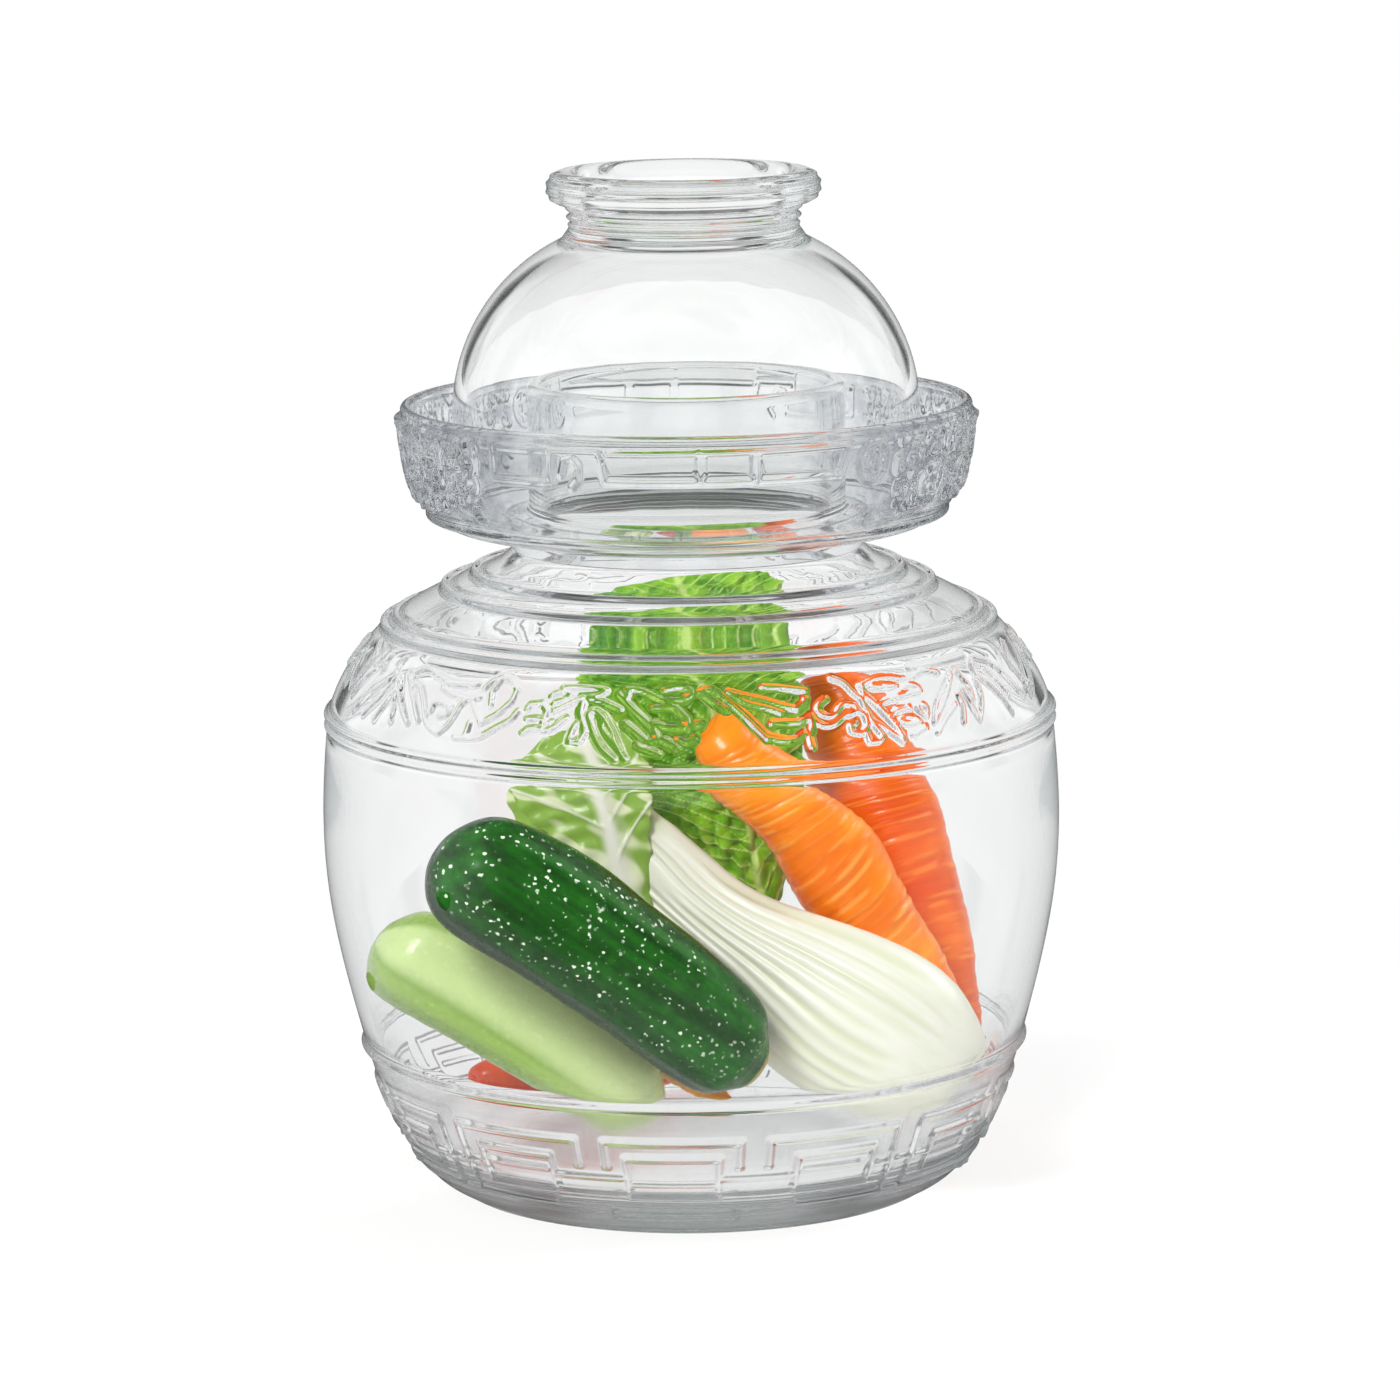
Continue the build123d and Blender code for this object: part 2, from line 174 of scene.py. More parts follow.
def inset(points, wall):
    """The same outline moved inwards by the wall thickness."""
    points = np.array(points, float)
    along = np.array([
        points[min(i + 1, len(points) - 1)] - points[max(i - 1, 0)] for i in range(len(points))
    ])
    along /= np.linalg.norm(along, axis=1)[:, None]
    return points + wall * np.column_stack([-along[:, 1], along[:, 0]])


jar_wall = 4.0
trough_wall = 3.4
band_line = [(66, 0), (76.85, 3.5), (86.1, 14.45), (92.8, 28.0), (97.9, 43.8)]
belly_line = [(97.9, 43.8), (104.0, 68.0), (107.9, 90.1), (109, 115), (107, 143)]
shoulder_line = [(107, 143), (104.45, 149.6), (99.0, 158.8), (90, 169.3)]
top_line = [
    (90, 169.3), (82.3, 174.3), (71.9, 179.7), (63.05, 184.06), (55.35, 187.5), (51.5, 191)
]
trough_line = [
    (54, 196.1), (65.8, 197.2), (74.9, 200.9), (79.8, 208.3), (82.5, 218.7), (84, 232.3)
]
inside_line = [
    (70.5, 11),
    *inset(band_line[2:] + belly_line[1:] + shoulder_line[1:] + top_line[1:-1], jar_wall),
    (46.9, 191), (42.7, 198.5),
]
trough_inside = inset([(51.5, 191)] + trough_line[1:], trough_wall)[2:]

jar_outline = joined(
    three_point_arc((0, 3.5), (28.5, 2.6), (57, 0)),
    straight((57, 0), (66, 0)),
    smooth_line(band_line, STEP),
    smooth_line(belly_line, STEP),
    smooth_line(shoulder_line, STEP),
    smooth_line(top_line, STEP),
    straight((51.5, 191), (51.5, 193.6)),
    arc((54, 193.6), 2.5, 180, 90),
    smooth_line(trough_line, STEP),
    arc((82.3, 232.3), 1.7, 0, 180),
    smooth_line([(80.6, 232.3), *trough_inside[-2::-1], (70.5, 201.5)], STEP),
    straight((70.5, 201.5), (49.2, 201.5)),
    arc((49.2, 204), 2.5, 270, 180),
    straight((46.7, 204), (46.7, 238)),
    arc((44.7, 238), 2, 0, 180),
    straight((42.7, 238), (42.7, 198.5)),
    smooth_line(inside_line[::-1], STEP),
    straight((70.5, 11), (0, 11)),
)


def lid_run():
    """The lid's outline, from under its knob, down the inside and up the outside."""
    skirt_top, dome, crown = (68.7, 228.0), (60.5, 259.5), (36.0, 281.5)
    centre, radius = circle_through(skirt_top, dome, crown)
    ceiling, wall = 279.3, 3.8
    low = math.degrees(math.atan2(skirt_top[1] - centre[1], skirt_top[0] - centre[0]))
    high = math.degrees(math.asin((ceiling - centre[1]) / (radius - wall)))
    inside = arc(centre, radius - wall, high, low)
    return joined(
        straight((0, ceiling), inside[0]),
        inside,
        straight(inside[-1], (64.9, 201.5), (68.7, 201.5), skirt_top),
        three_point_arc(skirt_top, dome, crown),
        straight(crown, (33.2, 285.5), (33.2, 292.0)),
        arc((35.1, 296.5), 4.9, -112.8, 203.3),
        straight((30.6, 294.5), (30.6, 287.9)),
        arc((26.6, 287.9), 4.0, 0, -90),
        straight((26.6, 283.9), (0, 283.9)),
    )


lid_outline = lid_run()


# Patterns pressed into the glass, as degrees round the jar and share of their zone's height

def mirrored(strokes):
    """The strokes, and the same ones on the other side of their middle."""
    return strokes + [[(-turn, share) for turn, share in stroke] for stroke in strokes]


# Greek key: a quarter of the way round, from the middle of a plain box
key_strokes = mirrored([
    [(0, 0.74), (8.3, 0.74), (8.3, 0.48), (0, 0.48)],
    [(0, 0.57), (7.6, 0.57)],
    [(0, 0.84), (12, 0.84), (12, 0.68)],
    [(8.3, 0.61), (22.6, 0.61)],
    [(17.3, 0.68), (17.3, 0.84), (42.4, 0.84), (42.4, 0.42), (24, 0.42)],
    [(22.6, 0.73), (37.8, 0.73), (37.8, 0.50), (22.6, 0.50), (22.6, 0.73)],
    [(24, 0.64), (36.4, 0.64)],
    [(37.8, 0.61), (45, 0.61)],
    [(12, 0.40), (12, 0.30)],
    [(0, 0.40), (45, 0.40)],
    [(0, 0.31), (12, 0.31)],
])

# Bamboo leaves, broad leaves and blossoms: half of the way round
leaf_strokes = [
    [(-79, 0.36), (-82.2, 0.47), (-84.5, 0.61)],
    [(-81.2, 0.62), (-83.8, 0.71), (-82, 0.78)],
    [(-74.5, 0.44), (-73, 0.58), (-72, 0.79)],
    [(-72, 0.79), (-75.8, 0.92), (-78, 1)],
    [(-65.2, 0.69), (-66.2, 0.77), (-66.2, 0.85)],
    [(-60.3, 0.69), (-61, 0.8), (-60.8, 0.89)],
    [(-72, 0.32), (-70, 0.56), (-67.2, 0.74)],
    [(-68.5, 0.17), (-64.8, 0.42), (-60.5, 0.65)],
    [(-64.2, 0.17), (-61, 0.39), (-59.5, 0.66)],
    [(-60, 0.15), (-58.5, 0.38), (-57.7, 0.51)],
    [(-55, 0.18), (-55.8, 0.33), (-57.5, 0.51)],
    [(-50.5, 0.21), (-53.8, 0.38), (-58.5, 0.67)],
    [(-48.2, 0.26), (-51.5, 0.49), (-56.5, 0.76)],
    [(-51, 0.62), (-54.8, 0.76), (-53.5, 0.83), (-50, 0.83), (-45.8, 0.77), (-38.5, 0.77)],
    [(-51, 0.62), (-48.5, 0.45), (-45.8, 0.24), (-43, 0.17)],
    [(-43, 0.17), (-41.5, 0.27), (-40.8, 0.38), (-40, 0.54), (-37, 0.62)],
    [(-46, 0.68), (-45.5, 0.72), (-39, 0.75)],
    [(-46, 0.68), (-43, 0.62), (-39.2, 0.59)],
    [(-46.2, 0.39), (-46.2, 0.48), (-45, 0.51), (-42.2, 0.48), (-42.2, 0.38), (-44, 0.35)],
    [(-36.8, 0.73), (-35.8, 0.83), (-34, 0.89), (-32, 0.87), (-30.2, 0.76), (-30.5, 0.61),
     (-32.5, 0.45), (-35.2, 0.33)],
    [(-34.2, 0.55), (-35, 0.7), (-34.2, 0.85)],
    [(-39.5, 0.15), (-37.5, 0.16), (-35, 0.18), (-31.8, 0.31), (-29.5, 0.42), (-28.8, 0.51)],
    [(-37.5, 0.17), (-37.2, 0.24), (-37.2, 0.33)],
    [(-38.2, 0.58), (-36.5, 0.45), (-35, 0.34)],
    [(-53, 0.93), (-44.8, 0.93), (-36, 0.94)],
    [(-27.2, 0.54), (-26.8, 0.6), (-24.8, 0.62), (-23.5, 0.54)],
    [(-23.5, 0.54), (-23.8, 0.45), (-23.8, 0.32)],
    [(-26.8, 0.43), (-25, 0.44), (-22.5, 0.4)],
    [(-27, 0.27), (-25.5, 0.34), (-23.8, 0.32), (-20.2, 0.46)],
    [(-23.5, 0.72), (-21.5, 0.77), (-20, 0.74), (-22.8, 0.63)],
    [(-21.8, 0.81), (-17.8, 0.83), (-14, 0.8), (-16.8, 0.72)],
    [(-16.8, 0.72), (-14.5, 0.68), (-11.2, 0.59)],
    [(-22.5, 0.54), (-20.2, 0.63), (-18.2, 0.7)],
    [(-19, 0.23), (-17.2, 0.22), (-16.5, 0.33), (-17.8, 0.53), (-17.8, 0.66)],
    [(-19, 0.23), (-18.5, 0.37), (-18, 0.42)],
    [(-16.5, 0.52), (-15.5, 0.57), (-14.5, 0.53), (-14, 0.41), (-12.2, 0.25), (-10, 0.06)],
    [(-16.5, 0.52), (-15.2, 0.34), (-13.5, 0.16), (-11.5, 0.05)],
    [(-14, 0.52), (-12.2, 0.34), (-10.8, 0.15)],
    [(-11.8, 0.77), (-9.5, 0.62), (-7.8, 0.52), (-5.8, 0.4)],
    [(-10.8, 0.83), (-8.8, 0.83), (-5.8, 0.75), (-3.5, 0.67), (-1.8, 0.59)],
    [(-10.8, 0.83), (-10.2, 0.77), (-10.5, 0.72)],
    [(-1.8, 0.59), (-0.5, 0.5), (0, 0.37)],
    [(-5.8, 0.45), (-3.7, 0.4), (-0.5, 0.4), (1.8, 0.43)],
    [(-4.2, 0.83), (-2.2, 0.86), (-0.2, 0.84), (0.5, 0.79), (-0.5, 0.73), (-3.7, 0.72)],
    [(-5.8, 0.62), (-4, 0.63), (-2.2, 0.62)],
    [(-10.2, 0.43), (-8, 0.32), (-6, 0.24), (-4.8, 0.27), (-1.8, 0.16)],
    [(-8.2, 0.2), (-6.5, 0.15), (-4.8, 0.11)],
    [(-1.8, 0.27), (-0.5, 0.23), (0.8, 0.26)],
    [(-5.8, 0.4), (-5, 0.28), (-3.2, 0.21)],
    [(1.8, 0.8), (3.2, 0.83), (4.2, 0.8), (8, 0.57), (10.8, 0.35), (12.2, 0.24)],
    [(1.8, 0.8), (3.5, 0.7), (6, 0.58)],
    [(6.5, 0.8), (8.5, 0.75), (12.5, 0.67), (15.2, 0.6), (17.8, 0.55)],
    [(6.8, 0.77), (9, 0.67), (12.5, 0.59), (15, 0.52)],
    [(12.5, 0.84), (16, 0.81), (19.8, 0.76)],
    [(13, 0.41), (15.8, 0.41), (18.5, 0.42), (20, 0.47)],
    [(12.2, 0.26), (14.3, 0.22), (16.5, 0.22), (18.2, 0.28)],
    [(17.5, 0.56), (19, 0.61), (19.5, 0.67)],
    [(19, 0.13), (18.8, 0.23), (19.8, 0.37), (19.5, 0.45), (20, 0.47)],
    [(20, 0.44), (21, 0.36), (22.5, 0.34), (25, 0.42), (27, 0.48)],
    [(23, 0.64), (21.5, 0.58), (21, 0.52), (22.2, 0.45), (24, 0.46), (24.8, 0.52)],
    [(24.8, 0.52), (26, 0.57), (27.8, 0.54), (28, 0.48), (26.3, 0.43)],
    [(25.2, 0.88), (27.2, 0.8), (28.2, 0.68), (29.5, 0.59)],
    [(28, 0.48), (29, 0.41), (29, 0.29), (27.5, 0.22), (26, 0.25), (26, 0.32), (27, 0.34)],
    [(29.2, 0.61), (29.5, 0.49), (30.2, 0.35), (32.5, 0.22), (34.8, 0.08)],
    [(29.8, 0.64), (31.8, 0.48), (33.2, 0.33), (34.8, 0.12)],
    [(28.5, 0.23), (28.8, 0.12), (30.5, 0.12), (31.3, 0.17), (30, 0.31), (29.5, 0.39)],
    [(30.5, 0.76), (29.8, 0.66)],
    [(31.8, 0.72), (33.8, 0.75), (37, 0.7), (35, 0.7), (31.8, 0.72)],
    [(30, 0.75), (32.5, 0.8), (36.8, 0.8), (38.5, 0.77)],
    [(38.8, 0.77), (41.2, 0.77), (43.2, 0.82), (47.5, 0.77)],
    [(32, 0.52), (36.5, 0.61), (40.8, 0.67), (41.5, 0.63), (39, 0.59), (32.2, 0.51)],
    [(33.2, 0.38), (35.5, 0.42), (38, 0.43)],
    [(39.2, 0.43), (41.2, 0.42), (40.5, 0.31), (39.2, 0.43)],
    [(34.5, 0.31), (37.8, 0.32), (39, 0.28), (36.5, 0.27), (34.5, 0.31)],
    [(36.8, 0.14), (38.2, 0.17), (39.8, 0.2)],
    [(30.2, 0.68), (31.8, 0.53), (33.5, 0.38), (35, 0.13)],
    [(41.8, 0.23), (43.5, 0.41), (46.5, 0.57), (50.5, 0.73)],
    [(41.8, 0.23), (44.2, 0.37), (46.2, 0.48), (50.5, 0.73)],
    [(41.8, 0.12), (44.5, 0.26), (47.8, 0.38)],
    [(52, 0.78), (52.5, 0.68), (52.8, 0.61)],
    [(49.5, 0.47), (49.5, 0.35), (48.2, 0.17)],
    [(53.2, 0.57), (53.2, 0.51), (52.5, 0.38)],
    [(51.2, 0.51), (51.5, 0.33), (52.2, 0.15)],
    [(56, 0.56), (55.5, 0.45), (54.2, 0.31), (52.2, 0.15)],
    [(58.2, 0.8), (56.8, 0.72), (57, 0.62)],
    [(57, 0.62), (59, 0.51), (61, 0.31), (62.2, 0.12)],
    [(59.8, 0.82), (63.2, 0.72), (65.2, 0.56), (67.5, 0.33)],
    [(60.3, 0.68), (61.5, 0.55), (63, 0.36)],
    [(76, 0.85), (72.5, 0.74), (70.2, 0.58)],
    [(71, 0.75), (70.5, 0.62), (71.8, 0.38)],
    [(85.2, 0.81), (83.2, 0.66), (79, 0.48), (76, 0.32), (72, 0.22)],
    [(89, 0.83), (89, 0.65), (89, 0.47)],
    [(71.2, 0.3), (73.2, 0.35), (75, 0.29)],
    [(41.5, 0.88), (49, 0.88), (57, 0.89)],
]


def circle(turn, share, size, tall, start=0, end=360):
    """A ring or part of one, with its sizes in degrees and shares."""
    angles = np.radians(np.linspace(start, end, 13))
    return [(turn + size * math.cos(a), share + tall * math.sin(a)) for a in angles]


# Panels, an arch and a flower on the trough: half of the way round
trough_strokes = [
    [(-41, 0.96), (-41.3, 0.74), (-27.4, 0.74), (-27, 0.97)],
    [(-27, 0.97), (-17.3, 0.97), (-16, 0.76), (2.2, 0.76), (2.4, 0.97)],
    [(-15.6, 0.95), (33.4, 0.97)],
    [(3.4, 0.96), (3.4, 0.76), (13, 0.76), (13, 0.96)],
    [(14, 0.95), (14.4, 0.76), (31.4, 0.76), (33.4, 0.97)],
    [(-25.2, 0.8), (-24.4, 0.9), (-22.6, 0.92), (-21.4, 0.86), (-21.6, 0.76), (-23, 0.71)],
    circle(39.7, 0.83, 3.6, 0.145),
    circle(39.7, 0.90, 0.9, 0.05),
    circle(39.7, 0.76, 0.9, 0.05),
    circle(38.1, 0.83, 1.0, 0.045),
    circle(41.3, 0.83, 1.0, 0.045),
]

# Broken rings that dimple the sides of the trough
dimples = []
chance = np.random.default_rng(7)
for turn in np.arange(47, 135, 3.9):
    for share in (0.50, 0.65, 0.80, 0.93):
        middle = turn + chance.uniform(-1.2, 1.2)
        height = share + chance.uniform(-0.05, 0.05)
        first = chance.uniform(0, 360)
        size = chance.uniform(0.7, 1.6)
        sweep = chance.uniform(150, 330)
        dimples.append(circle(middle, height, size, size / 20, first, first + sweep))


def pressed(strokes, turns, reach, radius, half, height):
    """Height of rounded ridges along the strokes, over a grid of rows and columns."""
    field = np.full((len(reach), PATTERN_COLUMNS), half)
    pitch = 2 * math.pi * radius / PATTERN_COLUMNS
    around = math.radians(1) * radius
    low, high = reach[0], reach[-1]
    for stroke in strokes:
        points = np.array(stroke, float) * (around, high - low) + (0, low)
        points = smooth_line(points, STROKE_STEP) if len(points) > 3 and curved(stroke) else points
        for turn in turns:
            for p, q in zip(points, points[1:]):
                p = p + (turn * around, 0)
                q = q + (turn * around, 0)
                first = math.floor((min(p[0], q[0]) - half) / pitch)
                last = math.ceil((max(p[0], q[0]) + half) / pitch)
                rows = np.where(
                    (reach > min(p[1], q[1]) - half) & (reach < max(p[1], q[1]) + half)
                )[0]
                if len(rows) == 0:
                    continue
                across = np.arange(first, last + 1)
                grid = np.stack(np.meshgrid(across * pitch, reach[rows]), axis=-1)
                run = q - p
                share = np.clip(((grid - p) @ run) / max(run @ run, 1e-9), 0, 1)
                gap = np.linalg.norm(grid - p - share[..., None] * run, axis=-1)
                spot = np.ix_(rows, across % PATTERN_COLUMNS)
                field[spot] = np.minimum(field[spot], gap)
    return height * (1 - (field / half) ** 2) ** 2


def curved(stroke):
    """True for a freehand stroke, false for one of level and upright runs."""
    turns = [a for a, b in stroke]
    return not any(abs(a - b) < 0.5 for a, b in zip(turns, turns[1:]))


def ring_mesh(name, rings):
    """A closed skin over rings of points, whose first and last rings are single points."""
    rings = [np.asarray(ring, float).reshape(-1, 3) for ring in rings]
    starts = np.concatenate([[0], np.cumsum([len(ring) for ring in rings])])
    faces = []
    for low, high, a, b in zip(rings, rings[1:], starts, starts[1:]):
        count = min(n for n in (len(low), len(high)) if n > 1)
        steps = np.arange(count)
        low_step = len(low) // count
        high_step = len(high) // count
        corners = []
        for step in range(low_step + 1 if low_step else 1):
            corners.append(a + (steps * low_step + step) % len(low))
        for step in range(high_step if high_step else 0, -1, -1):
            corners.append(b + (steps * high_step + step) % len(high))
        faces.extend(np.stack(corners, axis=1).tolist())
    mesh = bpy.data.meshes.new(name)
    mesh.from_pydata((np.concatenate(rings) * MM).tolist(), [], faces)
    mesh.polygons.foreach_set("use_smooth", [True] * len(mesh.polygons))
    mesh.update()
    piece = bpy.data.objects.new(name, mesh)
    scene.collection.objects.link(piece)
    return piece


def lathe(name, line, beads, zones):
    """The outline spun round Z, with beads on it and ridges pressed into its zones."""
    along = np.gradient(line, axis=0)
    along /= np.linalg.norm(along, axis=1)[:, None]
    outward = np.column_stack([along[:, 1], -along[:, 0]])
    bend = np.unwrap(np.arctan2(along[:, 1], along[:, 0]))
    reach = np.arange(len(line)) * STEP
    raised = np.zeros(len(line))
    fine = np.zeros(len(line), bool)
    for radius, height, tall, half in beads:
        middle = np.argmin(np.hypot(line[:, 0] - radius, line[:, 1] - height))
        foot = 1.3 * half
        share = np.clip(np.abs(reach - reach[middle]) / foot, 0, 1)
        raised = np.maximum(raised, tall * (0.5 + 0.5 * np.cos(math.pi * share)))
        fine |= share < 1
    zone_of = np.full(len(line), -1)
    for index, zone in enumerate(zones):
        first, last = (
            np.argmin(np.hypot(line[:, 0] - r, line[:, 1] - z)) for r, z in zone["ends"]
        )
        zone_of[first:last] = index
    rows = [0]
    for i in range(1, len(line) - 1):
        limit = BEAD_STEPS if fine[i] else PATTERN_STEPS if zone_of[i] >= 0 else PLAIN_STEPS
        if i - rows[-1] >= limit or abs(bend[i] - bend[rows[-1]]) > MOST_BEND:
            rows.append(i)
    rows.append(len(line) - 1)
    rows = np.array(rows)
    reliefs = {}
    for index, zone in enumerate(zones):
        inside = rows[zone_of[rows] == index]
        field = np.max([
            pressed(strokes, zone["turns"], reach[inside], zone["radius"], half, height)
            for strokes, half, height in zone["layers"]
        ], axis=0)
        edge = np.minimum(reach[inside] - reach[inside[0]], reach[inside[-1]] - reach[inside])
        reliefs.update(zip(inside, field * np.clip(edge, 0, 1)[:, None]))
    rings = []
    for i in rows:
        if i in (0, len(line) - 1):
            rings.append([(0, 0, line[i, 1])])
            continue
        columns = PATTERN_COLUMNS if zone_of[i] >= 0 else PLAIN_COLUMNS
        angles = np.arange(columns) * (2 * math.pi / columns)
        out = raised[i] + reliefs.get(i, np.zeros(columns))
        radius = line[i, 0] + out * outward[i, 0]
        rings.append(np.column_stack([
            radius * np.sin(angles), -radius * np.cos(angles), line[i, 1] + out * outward[i, 1]
        ]))
    return ring_mesh(name, rings)


class Nodes:
    """The nodes of a material or world, made one call at a time."""

    def __init__(self, owner):
        owner.use_nodes = True
        self.nodes = owner.node_tree.nodes
        self.links = owner.node_tree.links

    def add(self, kind, inputs=(), **settings):
        node = self.nodes.new(kind)
        for key, value in settings.items():
            setattr(node, key, value)
        for key, value in dict(inputs).items():
            if isinstance(value, bpy.types.NodeSocket):
                self.links.new(value, node.inputs[key])
            elif value is not None:
                node.inputs[key].default_value = value
        return node

    def maths(self, kind, a, b=None):
        return self.add("ShaderNodeMath", {0: a, 1: b}, operation=kind).outputs[0]

    def between(self, share, a, b):
        """A number that goes from a to b."""
        return self.add("ShaderNodeMix", {0: share, 2: a, 3: b}).outputs[0]

    def ranged(self, value, low, high, to_low=0.0, to_high=1.0):
        node = self.add(
            "ShaderNodeMapRange",
            {
                "Value": value, "From Min": low, "From Max": high,
                "To Min": to_low, "To Max": to_high,
            },
            interpolation_type="SMOOTHSTEP",
        )
        return node.outputs[0]


class Shader(Nodes):
    """A material and its nodes."""

    def __init__(self, name, **settings):
        self.material = bpy.data.materials.new(name)
        super().__init__(self.material)
        self.surface = self.nodes["Principled BSDF"]
        self.out = self.nodes["Material Output"]
        self.place = self.add("ShaderNodeTexCoord").outputs["Object"]
        for key, value in settings.items():
            self.surface.inputs[key.replace("_", " ")].default_value = value

    def stretched(self, x, y, z):
        """The place on the piece, scaled along its own axes."""
        node = self.add("ShaderNodeMapping", {"Vector": self.place, "Scale": (x, y, z)})
        return node.outputs[0]

    def length(self, vector):
        node = self.add("ShaderNodeVectorMath", {0: vector}, operation="LENGTH")
        return node.outputs["Value"]

    def noise(self, where, scale, detail=3.0, rough=0.5):
        node = self.add(
            "ShaderNodeTexNoise",
            {"Vector": where, "Scale": scale, "Detail": detail, "Roughness": rough},
        )
        return node.outputs["Fac"]

    def cells(self, where, scale):
        node = self.add("ShaderNodeTexVoronoi", {"Vector": where, "Scale": scale})
        return node.outputs["Distance"]

    def blend(self, share, a, b):
        """A colour that goes from a to b."""
        a, b = (v if isinstance(v, bpy.types.NodeSocket) else (*v, 1) for v in (a, b))
        return self.add("ShaderNodeMix", {0: share, 6: a, 7: b}, data_type="RGBA").outputs[2]

    def set(self, name, value):
        self.links.new(value, self.surface.inputs[name])

    def bump(self, height, distance, strength):
        node = self.add(
            "ShaderNodeBump", {"Height": height, "Distance": distance, "Strength": strength}
        )
        self.set("Normal", node.outputs[0])

    def either(self, share, first, second):
        """A surface that goes from the first shader to the second."""
        return self.add("ShaderNodeMixShader", {0: share, 1: first, 2: second}).outputs[0]

    def shows(self, surface):
        self.links.new(surface, self.out.inputs["Surface"])


def glass_material():
    """Clear pressed glass. Lamps and soft light reach what it holds, as through real glass."""
    glass = Shader("clear_glass", IOR=1.5, Transmission_Weight=1.0)
    clear, grey = (0.985, 0.99, 0.99), (0.46, 0.48, 0.52)
    band_frost = 0.14
    x, _, height = glass.add("ShaderNodeSeparateXYZ", {0: glass.place}).outputs
    radius = glass.length(glass.stretched(1, 1, 0))
    glass.set("Roughness", glass.ranged(height, 0.0405, 0.0425, band_frost, 0.0))
    # Painted shade: the left and right sides of the trough's wall are greyer, in patches, as the
    # glass looks darker there from the front
    shaded_sides = glass.ranged(glass.maths("ABSOLUTE", x), 0.035, 0.062)
    wall = glass.maths("MULTIPLY", glass.ranged(radius, 0.0735, 0.0765), shaded_sides)
    wall = glass.maths("MULTIPLY", wall, glass.ranged(height, 0.197, 0.204))
    uneven = glass.noise(glass.place, 150.0, 3.0, 0.6)
    wall = glass.maths("MULTIPLY", wall, glass.ranged(uneven, 0.35, 0.65, 0.35, 1.0))
    glass.set("Base Color", glass.blend(wall, clear, grey))
    glass.bump(glass.noise(glass.place, 38.0, 2.0), 0.0006, 0.12)
    path = glass.add("ShaderNodeLightPath").outputs
    lets = glass.maths("MAXIMUM", path["Is Shadow Ray"], path["Is Diffuse Ray"])
    caught = glass.maths("GREATER_THAN", path["Ray Depth"], CAUGHT)
    lets = glass.maths("MAXIMUM", lets, caught)
    open_way = glass.add("ShaderNodeBsdfTransparent", {"Color": (0.97, 0.975, 0.972, 1)})
    glass.shows(glass.either(lets, glass.surface.outputs[0], open_way.outputs[0]))
    tint = glass.add("ShaderNodeVolumeAbsorption", {"Color": (0.80, 0.83, 0.84, 1), "Density": 10.0})
    glass.links.new(tint.outputs[0], glass.out.inputs["Volume"])
    return glass.material


glass = glass_material()

# Beads that run round the glass: radius and height of the middle, how tall, half the width
jar_beads = [
    (97.9, 43.8, 1.4, 1.5),
    (107.1, 142.6, 1.2, 1.3), (107.4, 139.4, 0.9, 1.1),
    (90, 169.3, 1.2, 1.3), (86.6, 171.9, 0.9, 1.1),
    (71.9, 179.7, 1.5, 1.6), (63.05, 184.06, 1.3, 1.5),
    (75.9, 201.8, 1.2, 1.5), (84, 229.5, 0.5, 1.6),
    (86.8, 15.7, 0.5, 1.2), (82.4, 9.3, 0.5, 1.2), (71.5, 1.6, 0.7, 1.4),
]

# Patterned zones of the jar, with layers of strokes, half the width of a ridge and its height
jar_zones = [
    {
        "ends": ((66.8, 0.2), (97.2, 41.6)), "turns": (-4, 86, 176, 266), "radius": 92,
        "layers": [(key_strokes, 1.5, 1.0)],
    },
    {
        "ends": ((106.3, 145), (91.5, 167.9)), "turns": (0, 180), "radius": 100,
        "layers": [(leaf_strokes, 1.15, 0.75)],
    },
    {
        "ends": ((66, 197.3), (83.9, 231)), "turns": (0, 180), "radius": 83,
        "layers": [(trough_strokes, 1.3, 0.9), (dimples, 1.7, 1.7)],
    },
]
jar = lathe("glass_jar_pressed", jar_outline, jar_beads, jar_zones)

lid_beads = [
    (33.2, 290.6, 1.5, 1.1), (33.2, 288.0, 1.2, 1.0), (33.2, 285.6, 0.8, 0.9),
    (38.6, 299.9, 0.4, 0.8), (39.9, 297.9, 0.4, 0.8), (39.9, 295.4, 0.4, 0.8),
    (38.9, 293.4, 0.4, 0.8),
]
lid = lathe("glass_lid_blown", lid_outline, lid_beads, [])
for piece, node, body in ((jar, "glass_jar", "jar"), (lid, "glass_lid", "lid")):
    piece.data.materials.append(glass)
    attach(piece, body)
    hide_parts(node)


# Vegetables: each has its own X from its top to its low end, and its Z towards the viewer

def wobble(points, size, seed):
    """Smooth random values, about -1 to 1, that change over the given size."""
    chance = np.random.default_rng(seed)
    total = np.zeros(points.shape[:-1])
    for _ in range(WAVES):
        way = chance.normal(size=3)
        way *= 2 * math.pi / size * chance.uniform(0.6, 1.4) / np.linalg.norm(way)
        total += np.sin(points @ way + chance.uniform(0, 2 * math.pi))
    return total / math.sqrt(WAVES)


def smoothstep(low, high, value):
    """A smooth step from 0 at the first value to 1 at the second."""
    share = np.clip((value - low) / (high - low), 0, 1)
    return share * share * (3 - 2 * share)


